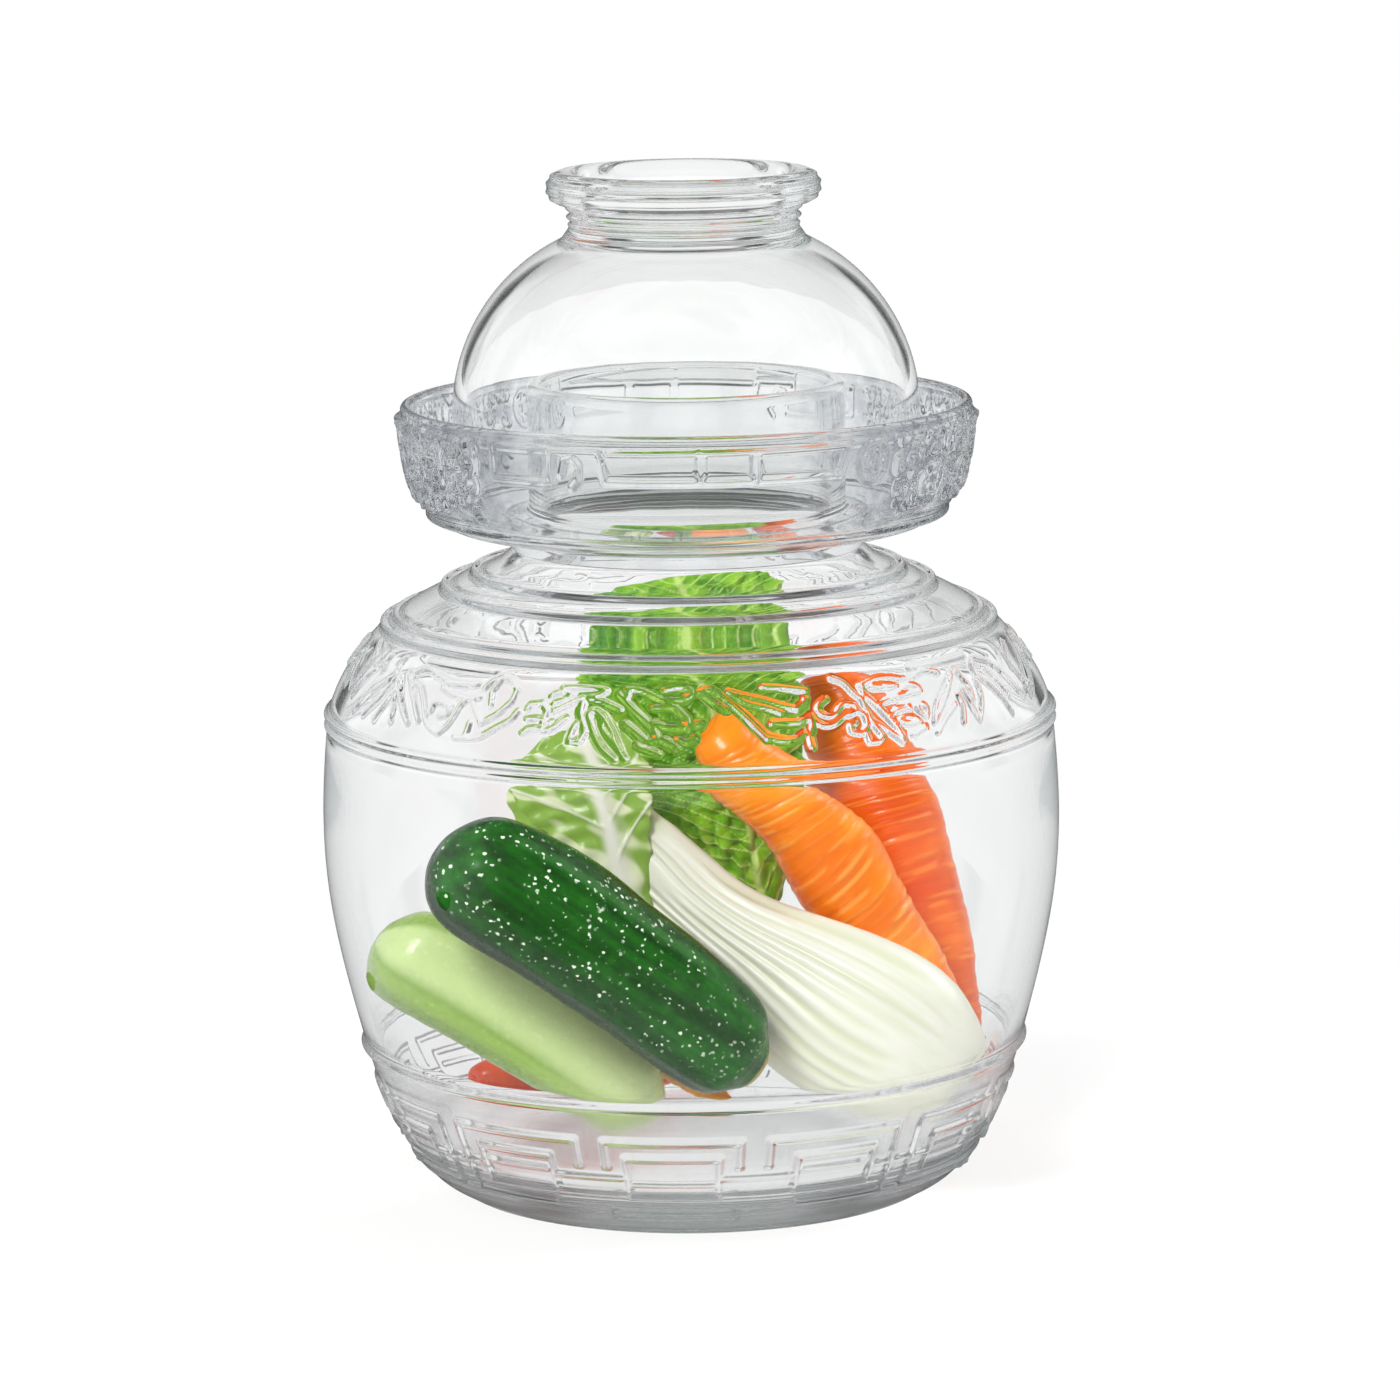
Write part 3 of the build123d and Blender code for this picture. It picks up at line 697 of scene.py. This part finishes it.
def plant(name, top, low, bow, half_sizes, table, relief):
    """A vegetable between two ends, with a bowed middle line and relief on its skin."""
    top, low = np.array(top, float), np.array(low, float)
    length = math.dist(top, low)
    along = (low - top) / length
    across = np.cross(along, (0, 1, 0))
    across /= np.linalg.norm(across)
    facing = np.cross(along, across)
    upward = np.array((0, 0, 1)) - along * along[2]
    upward /= np.linalg.norm(upward)
    line = smooth_line(np.array(table, float) * (length, *half_sizes), SKIN_STEP)
    line[0, 1:] = 0
    line[-1, 1:] = 0
    share = (line[:, 0] / length)[:, None]
    bulge = bow * (1 - (2 * share - 1) ** 2)
    angle = (np.arange(SKIN_COLUMNS) * 2 * math.pi / SKIN_COLUMNS)[None, :]
    grid = np.stack([
        (share - 0.5) * length + 0 * angle,
        bulge * (upward @ across) + line[:, 1:2] * np.cos(angle),
        bulge * (upward @ facing) + line[:, 2:3] * np.sin(angle),
    ], axis=-1)
    runs = np.gradient(grid, axis=0)
    turns = np.roll(grid, -1, axis=1) - np.roll(grid, 1, axis=1)
    outward = np.cross(turns, runs)
    outward /= np.maximum(np.linalg.norm(outward, axis=-1), 1e-9)[..., None]
    offset, masks = relief(grid, share, angle)
    grid += outward * offset[..., None]
    rings = [grid[0, :1], *grid[1:-1], grid[-1, :1]]
    piece = ring_mesh(name, rings)
    piece.matrix_world = Matrix.Translation((top + low) / 2 * MM) @ Matrix(
        (along, across, facing)
    ).transposed().to_4x4()
    shades = np.concatenate([masks[0, :1], *masks[1:-1], masks[-1, :1]])
    colours = np.ones((len(shades), 4))
    colours[:, :3] = np.clip(shades, 0, 1)
    layer = piece.data.color_attributes.new("shade", "FLOAT_COLOR", "POINT")
    layer.data.foreach_set("color", colours.ravel())
    return piece


# Relief gives how far a skin stands out, and three shares that its material reads

def cucumber_relief(seed, ribs, tall):
    def relief(grid, share, angle):
        ends = smoothstep(0, 0.12, share) * smoothstep(1, 0.86, share)
        drift = wobble(grid * (0.3, 1, 1), 70, seed)
        rib = np.cos(ribs * angle + 1.2 * drift) * ends
        uneven = wobble(grid, 42, seed + 1)
        offset = tall * rib + 0.4 * (uneven - 0.8) * ends
        # A share that is high on the front upper side and low on the back and underside; the
        # cucumber skins paint highlight on it and shade away from it
        pale = smoothstep(-0.3, 1.0, np.sin(angle + 0.5 + 0.25 * drift))
        masks = np.stack([0.5 + 0.5 * rib, share + 0 * angle, pale], axis=-1)
        return offset, masks
    return relief


def carrot_relief(seed, creases, deep):
    def relief(grid, share, angle):
        chance = np.random.default_rng(seed)
        offset = 0.3 * wobble(grid, 40, seed) - 0.35
        offset += 0.10 * wobble(grid * (3.0, 0.5, 0.5), 14, seed + 3)
        lines = np.zeros(grid.shape[:2])
        near = np.zeros(grid.shape[:2])
        reach = grid[..., 0].max() - grid[..., 0].min()
        for _ in range(creases):
            place = grid[0, 0, 0] + reach * chance.uniform(0.03, 0.97)
            middle = chance.uniform(0, 2 * math.pi)
            spread = chance.uniform(0.25, 1.1)
            lean = chance.uniform(-0.5, 0.5)
            apart = np.abs((angle - middle + math.pi) % (2 * math.pi) - math.pi)
            window = smoothstep(spread, spread * 0.4, apart)
            gap = grid[..., 0] - place - lean * (apart**2)
            depth = chance.uniform(0.35, 1.0)
            lines = np.maximum(lines, depth * window * np.exp(-((gap / 0.38) ** 2)))
            near = np.maximum(near, depth * window * np.exp(-(((gap - 1.1) / 0.8) ** 2)))
        fade = smoothstep(0, 0.05, share) * smoothstep(1, 0.97, share)
        offset = (offset - deep * lines + 0.5 * deep * near) * fade
        # The first share marks the creases, painted darker as shade; the third marks the raised lip
        # beside each crease, painted paler as a highlight
        masks = np.stack([lines * fade, share + 0 * angle, near * fade], axis=-1)
        return offset, masks
    return relief


def cabbage_relief(grid, share, angle):
    side = np.cos(angle) + 0.10 * wobble(grid * (0.5, 1, 1), 55, 31)
    leafy = smoothstep(0.34, 0.18, share)
    chance = np.random.default_rng(37)
    groove = np.zeros(grid.shape[:2])
    for place in (0.84, 0.66, 0.46, 0.30, 0.13, -0.05, -0.22, -0.40, -0.58, -0.80):
        width = chance.uniform(0.035, 0.065)
        start = chance.uniform(0.12, 0.45)
        stop = chance.uniform(0.90, 0.99)
        deep = chance.uniform(0.6, 1.0)
        run = smoothstep(start, start + 0.15, share) * smoothstep(stop, stop - 0.1, share)
        gap = (side - place) / (width * (1 + 0.2 * share))
        groove = np.maximum(groove, deep * run * np.exp(-(gap**2)))
    rib = np.exp(-(((np.abs(side - 0.1) - 0.30) / 0.11) ** 2)) * leafy
    crinkle = wobble(grid, 9, 33) * leafy * (1 - rib)
    offset = -1.0 * groove + 0.9 * rib + 0.9 * crinkle - 0.2 * leafy
    patches = smoothstep(-0.9, 0.3, wobble(grid * (0.6, 1, 1), 13, 35)) * leafy * (1 - rib)
    edge = smoothstep(0, 0.02, share)
    # The first share marks the grooves, which the material paints greyer green
    return offset * edge, np.stack([groove, patches, leafy + 0 * angle], axis=-1)


def blade_relief(grid, share, angle):
    x, y = grid[..., 0], grid[..., 1]
    middle = -1.5 + 8.5 * smoothstep(0.9, 0.0, share)
    main = np.exp(-(((y - middle) / (2.6 + 1.6 * share)) ** 2))
    ribs = np.zeros(grid.shape[:2])
    for start, lean in ((0.34, 0.55), (0.52, 0.7), (0.72, 0.9), (0.30, -0.8), (0.55, -0.9)):
        gap = (y - middle) - lean * (grid[0, 0, 0] + (x[-1, 0] - x[0, 0]) * start - x)
        side = smoothstep(0, 2, (y - middle) * np.sign(lean))
        ribs = np.maximum(ribs, side * np.exp(-((gap / 0.9) ** 2)))
    white = np.maximum(main, 0.8 * ribs)
    crinkle = wobble(grid, 9, 53) * (1 - white)
    green = smoothstep(-1.2, 0.4, wobble(grid * (0.8, 1, 1), 8, 55)) * (1 - white)
    edge = smoothstep(0, 0.04, share) * smoothstep(1, 0.9, share)
    offset = (1.5 * main + 0.5 * ribs + 0.5 * crinkle) * edge
    return offset, np.stack([np.zeros_like(main), green, 1 - white], axis=-1)


def leafy_relief(grid, share, angle):
    x, y = grid[..., 0], grid[..., 1]
    warp = 2.2 * wobble(grid, 34, 41)
    ladder = x + 0.85 * np.abs(y) + warp
    vein = np.maximum(
        np.exp(-(((ladder / 5.2 - np.round(ladder / 5.2)) * 5.2 / 0.55) ** 2)),
        np.exp(-(((y + 0.5 * warp) / 1.6) ** 2)),
    )
    fine = np.exp(-((wobble(grid, 7, 43) / 0.16) ** 2))
    puff = np.abs(wobble(grid, 11, 45))
    fade = smoothstep(0, 0.05, share) * smoothstep(1, 0.93, share)
    offset = (1.4 * puff + 0.7 * wobble(grid, 5, 47) - 0.5 * fine - 1.1 + 0.5 * vein) * fade
    return offset, np.stack([vein, fine, puff * 0.7], axis=-1)


def both(table):
    """A round section: the same share of half-width and half-depth."""
    return [(share, size, size) for share, size in table]


# Sections: share of the length, then of the half-width and of the half-depth
cucumber_table = both([
    (0, 0), (0, 0.17), (0.025, 0.52), (0.08, 0.85), (0.18, 0.98), (0.36, 1), (0.60, 1),
    (0.80, 0.95), (0.92, 0.81), (0.975, 0.49), (0.997, 0.18), (0.99, 0.13), (0.998, 0.08), (1, 0),
])
long_carrot_table = both([
    (0.02, 0), (0.004, 0.14), (0, 0.30), (0.025, 0.56), (0.08, 0.76), (0.20, 0.93), (0.38, 1),
    (0.56, 0.96), (0.74, 0.81), (0.88, 0.60), (0.965, 0.40), (0.995, 0.22), (1, 0),
])
small_carrot_table = both([
    (0.02, 0), (0.004, 0.16), (0, 0.35), (0.03, 0.70), (0.10, 0.94), (0.22, 1), (0.45, 0.90),
    (0.68, 0.72), (0.88, 0.48), (0.99, 0.22), (1, 0),
])
cabbage_table = [
    (0, 0, 0), (0, 0.36, 0.10), (0.04, 0.62, 0.18), (0.12, 0.76, 0.26), (0.24, 0.64, 0.34),
    (0.36, 0.50, 0.46), (0.50, 0.60, 0.62), (0.64, 0.86, 0.86), (0.78, 1, 1),
    (0.89, 0.92, 0.92), (0.965, 0.64, 0.64), (1, 0.34, 0.34), (0.995, 0.16, 0.16), (0.99, 0, 0),
]
blade_table = [
    (0.03, 0, 0), (0, 0.40, 0.5), (0.03, 0.74, 0.8), (0.12, 0.96, 1), (0.28, 1, 1),
    (0.52, 0.78, 1), (0.76, 0.44, 1), (0.93, 0.26, 0.8), (1, 0.12, 0.4), (1, 0, 0),
]
leafy_table = [
    (0, 0, 0), (0, 0.55, 0.40), (0.05, 0.86, 0.80), (0.20, 1, 1), (0.48, 0.95, 1),
    (0.70, 0.66, 0.96), (0.87, 0.38, 0.80), (0.96, 0.22, 0.55), (1, 0.12, 0.30), (1, 0, 0),
]


def paint(code):
    """A colour's linear shares, from its six-figure code."""
    parts = [int(code[i:i + 2], 16) / 255 for i in (0, 2, 4)]
    return tuple(p / 12.92 if p <= 0.04045 else ((p + 0.055) / 1.055) ** 2.4 for p in parts)


def skin(name, **settings):
    """A wet vegetable skin, with the three shares kept on its mesh."""
    look = Shader(name, **settings)
    kept = look.add("ShaderNodeAttribute", attribute_name="shade")
    split = look.add("ShaderNodeSeparateColor", {"Color": kept.outputs["Color"]})
    return look, split.outputs[0], split.outputs[1], split.outputs[2]


def dark_cucumber_skin():
    look, _, share, uneven = skin(
        "dark_cucumber", Coat_Weight=0.15, Coat_Roughness=0.08, Specular_IOR_Level=0.1
    )
    streaks = look.noise(look.stretched(12, 160, 160), 1.0, 4.0, 0.6)
    mottled = look.noise(look.place, 190.0, 4.0, 0.6)
    base = look.blend(look.ranged(streaks, 0.35, 0.7), paint("0a3a05"), paint("16660a"))
    base = look.blend(look.ranged(mottled, 0.5, 0.75, 0.0, 0.3), base, paint("2a8214"))
    # Painted shade: the back and underside are darkened towards near black
    base = look.blend(look.ranged(uneven, 0.75, 0.0, 0.0, 0.8), base, paint("031608"))
    # Pale wart spots, kept to the front upper side and thinned towards the low end, where they also
    # stand for painted highlight glints
    spots = look.cells(look.place, 520.0)
    few = look.noise(look.place, 100.0, 3.0, 0.6)
    size = look.ranged(look.noise(look.place, 700.0, 2.0), 0.35, 0.65, 0.02, 0.42)
    warts_and_glints = look.ranged(look.maths("SUBTRACT", size, spots), 0.0, 0.10)
    warts_and_glints = look.maths("MULTIPLY", warts_and_glints, look.ranged(few, 0.42, 0.54))
    warts_and_glints = look.maths("MULTIPLY", warts_and_glints, look.ranged(uneven, 0.45, 0.85))
    warts_and_glints = look.maths("MULTIPLY", warts_and_glints, look.ranged(share, 0.7, 0.95, 1.0, 0.25))
    base = look.blend(warts_and_glints, base, paint("e9f5df"))
    base = look.blend(look.ranged(share, 0.985, 0.992), base, paint("a8924e"))
    look.set("Base Color", base)
    look.set("Roughness", look.ranged(mottled, 0.3, 0.8, 0.22, 0.42))
    look.bump(look.maths("ADD", warts_and_glints, look.maths("MULTIPLY", mottled, 0.3)), 0.0005, 0.5)
    return look.material


def pale_cucumber_skin():
    look, rib, share, uneven = skin(
        "pale_cucumber", Coat_Weight=0.35, Coat_Roughness=0.12, Specular_IOR_Level=0.2
    )
    streaks = look.noise(look.stretched(9, 120, 120), 1.0, 4.0, 0.6)
    base = look.blend(look.ranged(rib, 0.15, 0.9), paint("84a642"), paint("93b54c"))
    # Painted shade darkens the back and underside to olive, and a painted highlight runs as a pale
    # stripe along the front upper side
    base = look.blend(look.ranged(uneven, 0.55, 0.0, 0.0, 0.75), base, paint("6d8c34"))
    base = look.blend(look.ranged(uneven, 0.86, 1.0, 0.0, 0.8), base, paint("cde29c"))
    base = look.blend(look.ranged(streaks, 0.45, 0.8, 0.0, 0.35), base, paint("b3cc78"))
    base = look.blend(look.ranged(share, 0.5, 1.0, 0.0, 0.6), base, paint("ccd6a0"))
    speckle = look.noise(look.place, 420.0, 3.0, 0.7)
    base = look.blend(look.ranged(speckle, 0.55, 0.8, 0.0, 0.35), base, paint("eef3d0"))
    look.set("Base Color", base)
    look.set("Roughness", look.ranged(speckle, 0.3, 0.8, 0.24, 0.4))
    look.bump(speckle, 0.0004, 0.5)
    return look.material


def carrot_skin(name, deep, base_tone, pale):
    look, crease, share, near = skin(
        name, Coat_Weight=0.3, Coat_Roughness=0.16, Specular_IOR_Level=0.2
    )
    cloud = look.noise(look.stretched(60, 25, 25), 1.0, 4.0, 0.6)
    base = look.blend(look.ranged(cloud, 0.35, 0.72), paint(deep), paint(base_tone))
    rings = look.noise(look.stretched(420, 28, 28), 1.0, 3.0, 0.6)
    base = look.blend(look.ranged(rings, 0.55, 0.8, 0.0, 0.4), base, paint(pale))
    # Painted highlight: the raised lip beside each crease is paler
    base = look.blend(look.ranged(near, 0.2, 1.0, 0.0, 0.5), base, paint(pale))
    # Painted shade: the creases are darker
    base = look.blend(look.ranged(crease, 0.2, 1.0, 0.0, 0.75), base, paint(deep))
    base = look.blend(look.ranged(share, 0.75, 1.0, 0.0, 0.6), base, paint(deep))
    look.set("Base Color", base)
    look.set("Roughness", look.ranged(rings, 0.3, 0.8, 0.3, 0.5))
    look.bump(rings, 0.0007, 0.6)
    return look.material


def cabbage_skin():
    look, groove, patch, leafy = skin(
        "cabbage", Coat_Weight=0.2, Coat_Roughness=0.2, Specular_IOR_Level=0.25
    )
    fibres = look.noise(look.stretched(8, 260, 260), 1.0, 3.0, 0.6)
    base = look.blend(look.ranged(fibres, 0.4, 0.75, 0.0, 0.5), paint("e3e2d4"), paint("d6d9c0"))
    base = look.blend(look.maths("MULTIPLY", leafy, 0.5), base, paint("c0d278"))
    # The grooves are greyer green, partly the stalk's own green and partly painted shade
    base = look.blend(look.ranged(groove, 0.1, 1.0, 0.0, 0.45), base, paint("c2ca98"))
    base = look.blend(look.ranged(patch, 0.0, 0.8, 0.0, 0.9), base, paint("7aa424"))
    look.set("Base Color", base)
    look.set("Roughness", look.ranged(fibres, 0.3, 0.8, 0.32, 0.5))
    look.bump(fibres, 0.0006, 0.5)
    return look.material


def leafy_skin():
    look, vein, fine, puff = skin(
        "leafy_green", Coat_Weight=0.2, Coat_Roughness=0.2, Specular_IOR_Level=0.2
    )
    cloud = look.noise(look.place, 75.0, 4.0, 0.6)
    base = look.blend(look.ranged(cloud, 0.35, 0.7), paint("3f860a"), paint("7cb41a"))
    base = look.blend(look.ranged(puff, 0.1, 0.9, 0.0, 0.65), base, paint("94c82c"))
    base = look.blend(look.ranged(fine, 0.3, 1.0, 0.0, 0.45), base, paint("b6d95c"))
    base = look.blend(look.ranged(vein, 0.3, 1.0, 0.0, 0.75), base, paint("cfe488"))
    look.set("Base Color", base)
    look.set("Roughness", look.ranged(cloud, 0.3, 0.8, 0.3, 0.5))
    look.bump(look.noise(look.place, 330.0, 4.0, 0.6), 0.0012, 0.7)
    return look.material


cabbage_look = cabbage_skin()
orange = ("f8760a", "ff9a16", "ffbe62")
deeper_orange = ("e45604", "f8760a", "ffa040")

# Name, top and low end, how far the middle bows up, half-width and half-depth, section,
# relief and material
vegetables = [
    (
        "pale_cucumber", (-90.4, -36.8, 82.1), (-11.5, -31.3, 26.9), 2.5, (16.3, 16.3),
        cucumber_table, cucumber_relief(3, 9, 0.15), pale_cucumber_skin(),
    ),
    (
        "dark_cucumber", (-71.6, -67.6, 113.2), (17.9, -51.7, 44.7), 3.0, (18.9, 18.9),
        cucumber_table, cucumber_relief(5, 11, 0.2), dark_cucumber_skin(),
    ),
    (
        "red_carrot", (-67.8, 22.0, 23.3), (11.9, 76.0, 15.3), 0, (8.8, 8.8),
        small_carrot_table, carrot_relief(7, 70, 0.35),
        carrot_skin("red_carrot", "b8300a", "dd5222", "f09a6a"),
    ),
    (
        "yellow_carrot", (-37.4, 4.6, 63.4), (10.3, -29.3, 26.7), 0, (8.5, 8.5),
        small_carrot_table, carrot_relief(9, 60, 0.35),
        carrot_skin("yellow_carrot", "c9790f", "eda52c", "f9d488"),
    ),
    (
        "cabbage", (-49.3, 2.9, 126.3), (77.3, -46.5, 40.0), -7.0, (26.0, 17.5),
        cabbage_table, cabbage_relief, cabbage_look,
    ),
    (
        "front_carrot", (5.7, -6.6, 137.3), (82.5, -7.5, 34.2), 3.5, (14.2, 14.2),
        long_carrot_table, carrot_relief(11, 190, 0.4), carrot_skin("front_carrot", *orange),
    ),
    (
        "rear_carrot", (41.4, 54.6, 147.2), (82.3, 12.5, 24.8), 3.0, (17.0, 17.0),
        long_carrot_table, carrot_relief(13, 190, 0.4), carrot_skin("rear_carrot", *deeper_orange),
    ),
    (
        "leafy_green", (-4.2, 17.0, 172.1), (22.6, 11.2, 80.1), -5.0, (33.0, 9.0),
        leafy_table, leafy_relief, leafy_skin(),
    ),
]
for name, top, low, bow, sizes, table, relief, look in vegetables:
    piece = plant(name + "_skin", top, low, bow, sizes, table, relief)
    piece.data.materials.append(look)
    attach(piece, "jar")
    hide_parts(name)

# A leaf blade that lies on the cabbage
blade = plant(
    "cabbage_leaf", (-38, -10, 135), (-15, -21, 82), 0, (20, 2), blade_table, blade_relief
)
blade.data.materials.append(cabbage_look)
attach(blade, "jar")


# Camera, found from the ellipses of the rings and from the tips of the vegetables
target = Vector((0.003, 0, 0.1441))
distance = 1.81
pitch = math.radians(10.2)
forward = Vector((0, math.cos(pitch), -math.sin(pitch)))
right = Vector((1, 0, 0))
upward = right.cross(forward)
roll = math.radians(0.7)
turned_right = right * math.cos(roll) - upward * math.sin(roll)
turned_up = upward * math.cos(roll) + right * math.sin(roll)
camera = bpy.data.objects.new("camera", bpy.data.cameras.new("camera"))
scene.collection.objects.link(camera)
camera.data.lens = 157.2
camera.data.sensor_width = 36
camera.data.clip_end = 100
camera.matrix_world = Matrix.Translation(target - forward * distance) @ Matrix(
    (turned_right, turned_up, -forward)
).transposed().to_4x4()
scene.camera = camera


def floor_material():
    """White to the eye and through glass, and still shaded where the jar stands."""
    look = Shader("floor", Base_Color=(0.9, 0.9, 0.9, 1), Roughness=1.0)
    path = look.add("ShaderNodeLightPath").outputs
    away = look.length(look.place)
    near = look.ranged(away, 0.10, 0.35, 0.95, 1.0)
    depth = look.add("ShaderNodeSeparateXYZ", {0: look.place}).outputs[1]
    # A ray that has met an odd number of surfaces is reflected by the glass, not let through
    odd = look.maths("MODULO", path["Ray Depth"], 2.0)
    front = look.maths("MULTIPLY", odd, look.ranged(depth, -0.30, -0.12, 0.85, 0.0))
    near = look.maths("MULTIPLY", near, look.maths("SUBTRACT", 1.0, front))
    near = look.maths("MULTIPLY", near, look.ranged(away, 0.7, 1.4, 1.0, 1.15))
    caught = look.maths("GREATER_THAN", path["Ray Depth"], CAUGHT)
    clear = look.maths("MAXIMUM", path["Is Transmission Ray"], caught)
    glow = look.add("ShaderNodeEmission", {"Strength": look.between(clear, 0.05, near)})
    white = look.add("ShaderNodeEmission", {"Strength": 1.0})
    lit_floor = look.surface.outputs[0]
    soft = look.either(look.ranged(away, 0.16, 0.45, 0.7, 1.0), lit_floor, white.outputs[0])
    seen = look.either(path["Is Camera Ray"], lit_floor, soft)
    by_glass = look.maths("MAXIMUM", path["Is Glossy Ray"], path["Is Transmission Ray"])
    look.shows(look.either(by_glass, seen, glow.outputs[0]))
    return look.material


floor_mesh = bpy.data.meshes.new("floor")
floor_edge = [(6 * math.cos(a), 6 * math.sin(a), 0) for a in np.radians(np.arange(0, 360, 5))]
floor_mesh.from_pydata(floor_edge, [], [list(range(len(floor_edge)))])
floor = bpy.data.objects.new("floor", floor_mesh)
scene.collection.objects.link(floor)
floor_mesh.materials.append(floor_material())


def make_world():
    """A white room. Glass sees dark screens standing round it, which draw its edges."""
    world = bpy.data.worlds.new("studio")
    look = Nodes(world)
    place = look.add("ShaderNodeTexCoord").outputs["Generated"]
    x, y, height = look.add("ShaderNodeSeparateXYZ", {0: place}).outputs
    path = look.add("ShaderNodeLightPath").outputs
    # Through glass: light between eight dark screens, dark overhead and, if reflected, in front
    stripes = look.maths("COSINE", look.maths("MULTIPLY", look.maths("ARCTAN2", x, y), 8.0))
    screens = look.ranged(stripes, -1.0, -0.4, 0.1, 1.0)
    overhead = look.ranged(height, 0.3, 0.6, 1.0, 0.15)
    odd = look.maths("MODULO", path["Ray Depth"], 2.0)
    front = look.maths("MULTIPLY", odd, look.ranged(y, -0.7, -0.1, 0.85, 0.0))
    back = look.maths("SUBTRACT", 1.0, front)
    through_glass = look.maths("MULTIPLY", look.maths("MULTIPLY", screens, overhead), back)
    # Mirrored in glass: eight narrow strips of light
    strip = look.ranged(stripes, 0.75, 0.95, 0.02, 0.45)
    mirrored_light = look.maths("MULTIPLY", strip, overhead)
    level = look.between(path["Is Glossy Ray"], 0.6, mirrored_light)
    level = look.between(path["Is Transmission Ray"], level, through_glass)
    caught = look.maths("GREATER_THAN", path["Ray Depth"], CAUGHT)
    bright = look.maths("MAXIMUM", path["Is Camera Ray"], look.maths("MULTIPLY", caught, 0.55))
    background = look.nodes["Background"]
    background.inputs["Color"].default_value = (1, 1, 1, 1)
    look.links.new(look.maths("MAXIMUM", level, bright), background.inputs["Strength"])
    scene.world = world


make_world()

# The lamps light everything but the glass
lit = bpy.data.collections.new("lit_by_lamps")
for piece in scene.objects:
    if piece.type == "MESH" and piece not in (jar, lid):
        lit.objects.link(piece)


def lamp(name, place, aim, width, height, power):
    """A soft lamp for what the glass holds, and for the floor."""
    data = bpy.data.lights.new(name, "AREA")
    data.shape = "RECTANGLE"
    data.size = width
    data.size_y = height
    data.energy = power
    made = bpy.data.objects.new(name, data)
    made.location = place
    made.rotation_euler = (Vector(aim) - Vector(place)).to_track_quat("-Z", "Y").to_euler()
    made.light_linking.receiver_collection = lit
    scene.collection.objects.link(made)


lamp("key", (-0.7, -1.1, 1.3), (0, 0, 0.12), 0.5, 0.5, 26)
lamp("rim", (0.9, 0.5, 1.0), (0, 0, 0.12), 0.4, 0.6, 10)

scene.cycles.max_bounces = 32
scene.cycles.transmission_bounces = 32
scene.cycles.glossy_bounces = 32
scene.cycles.transparent_max_bounces = 32
scene.view_settings.view_transform = "Standard"
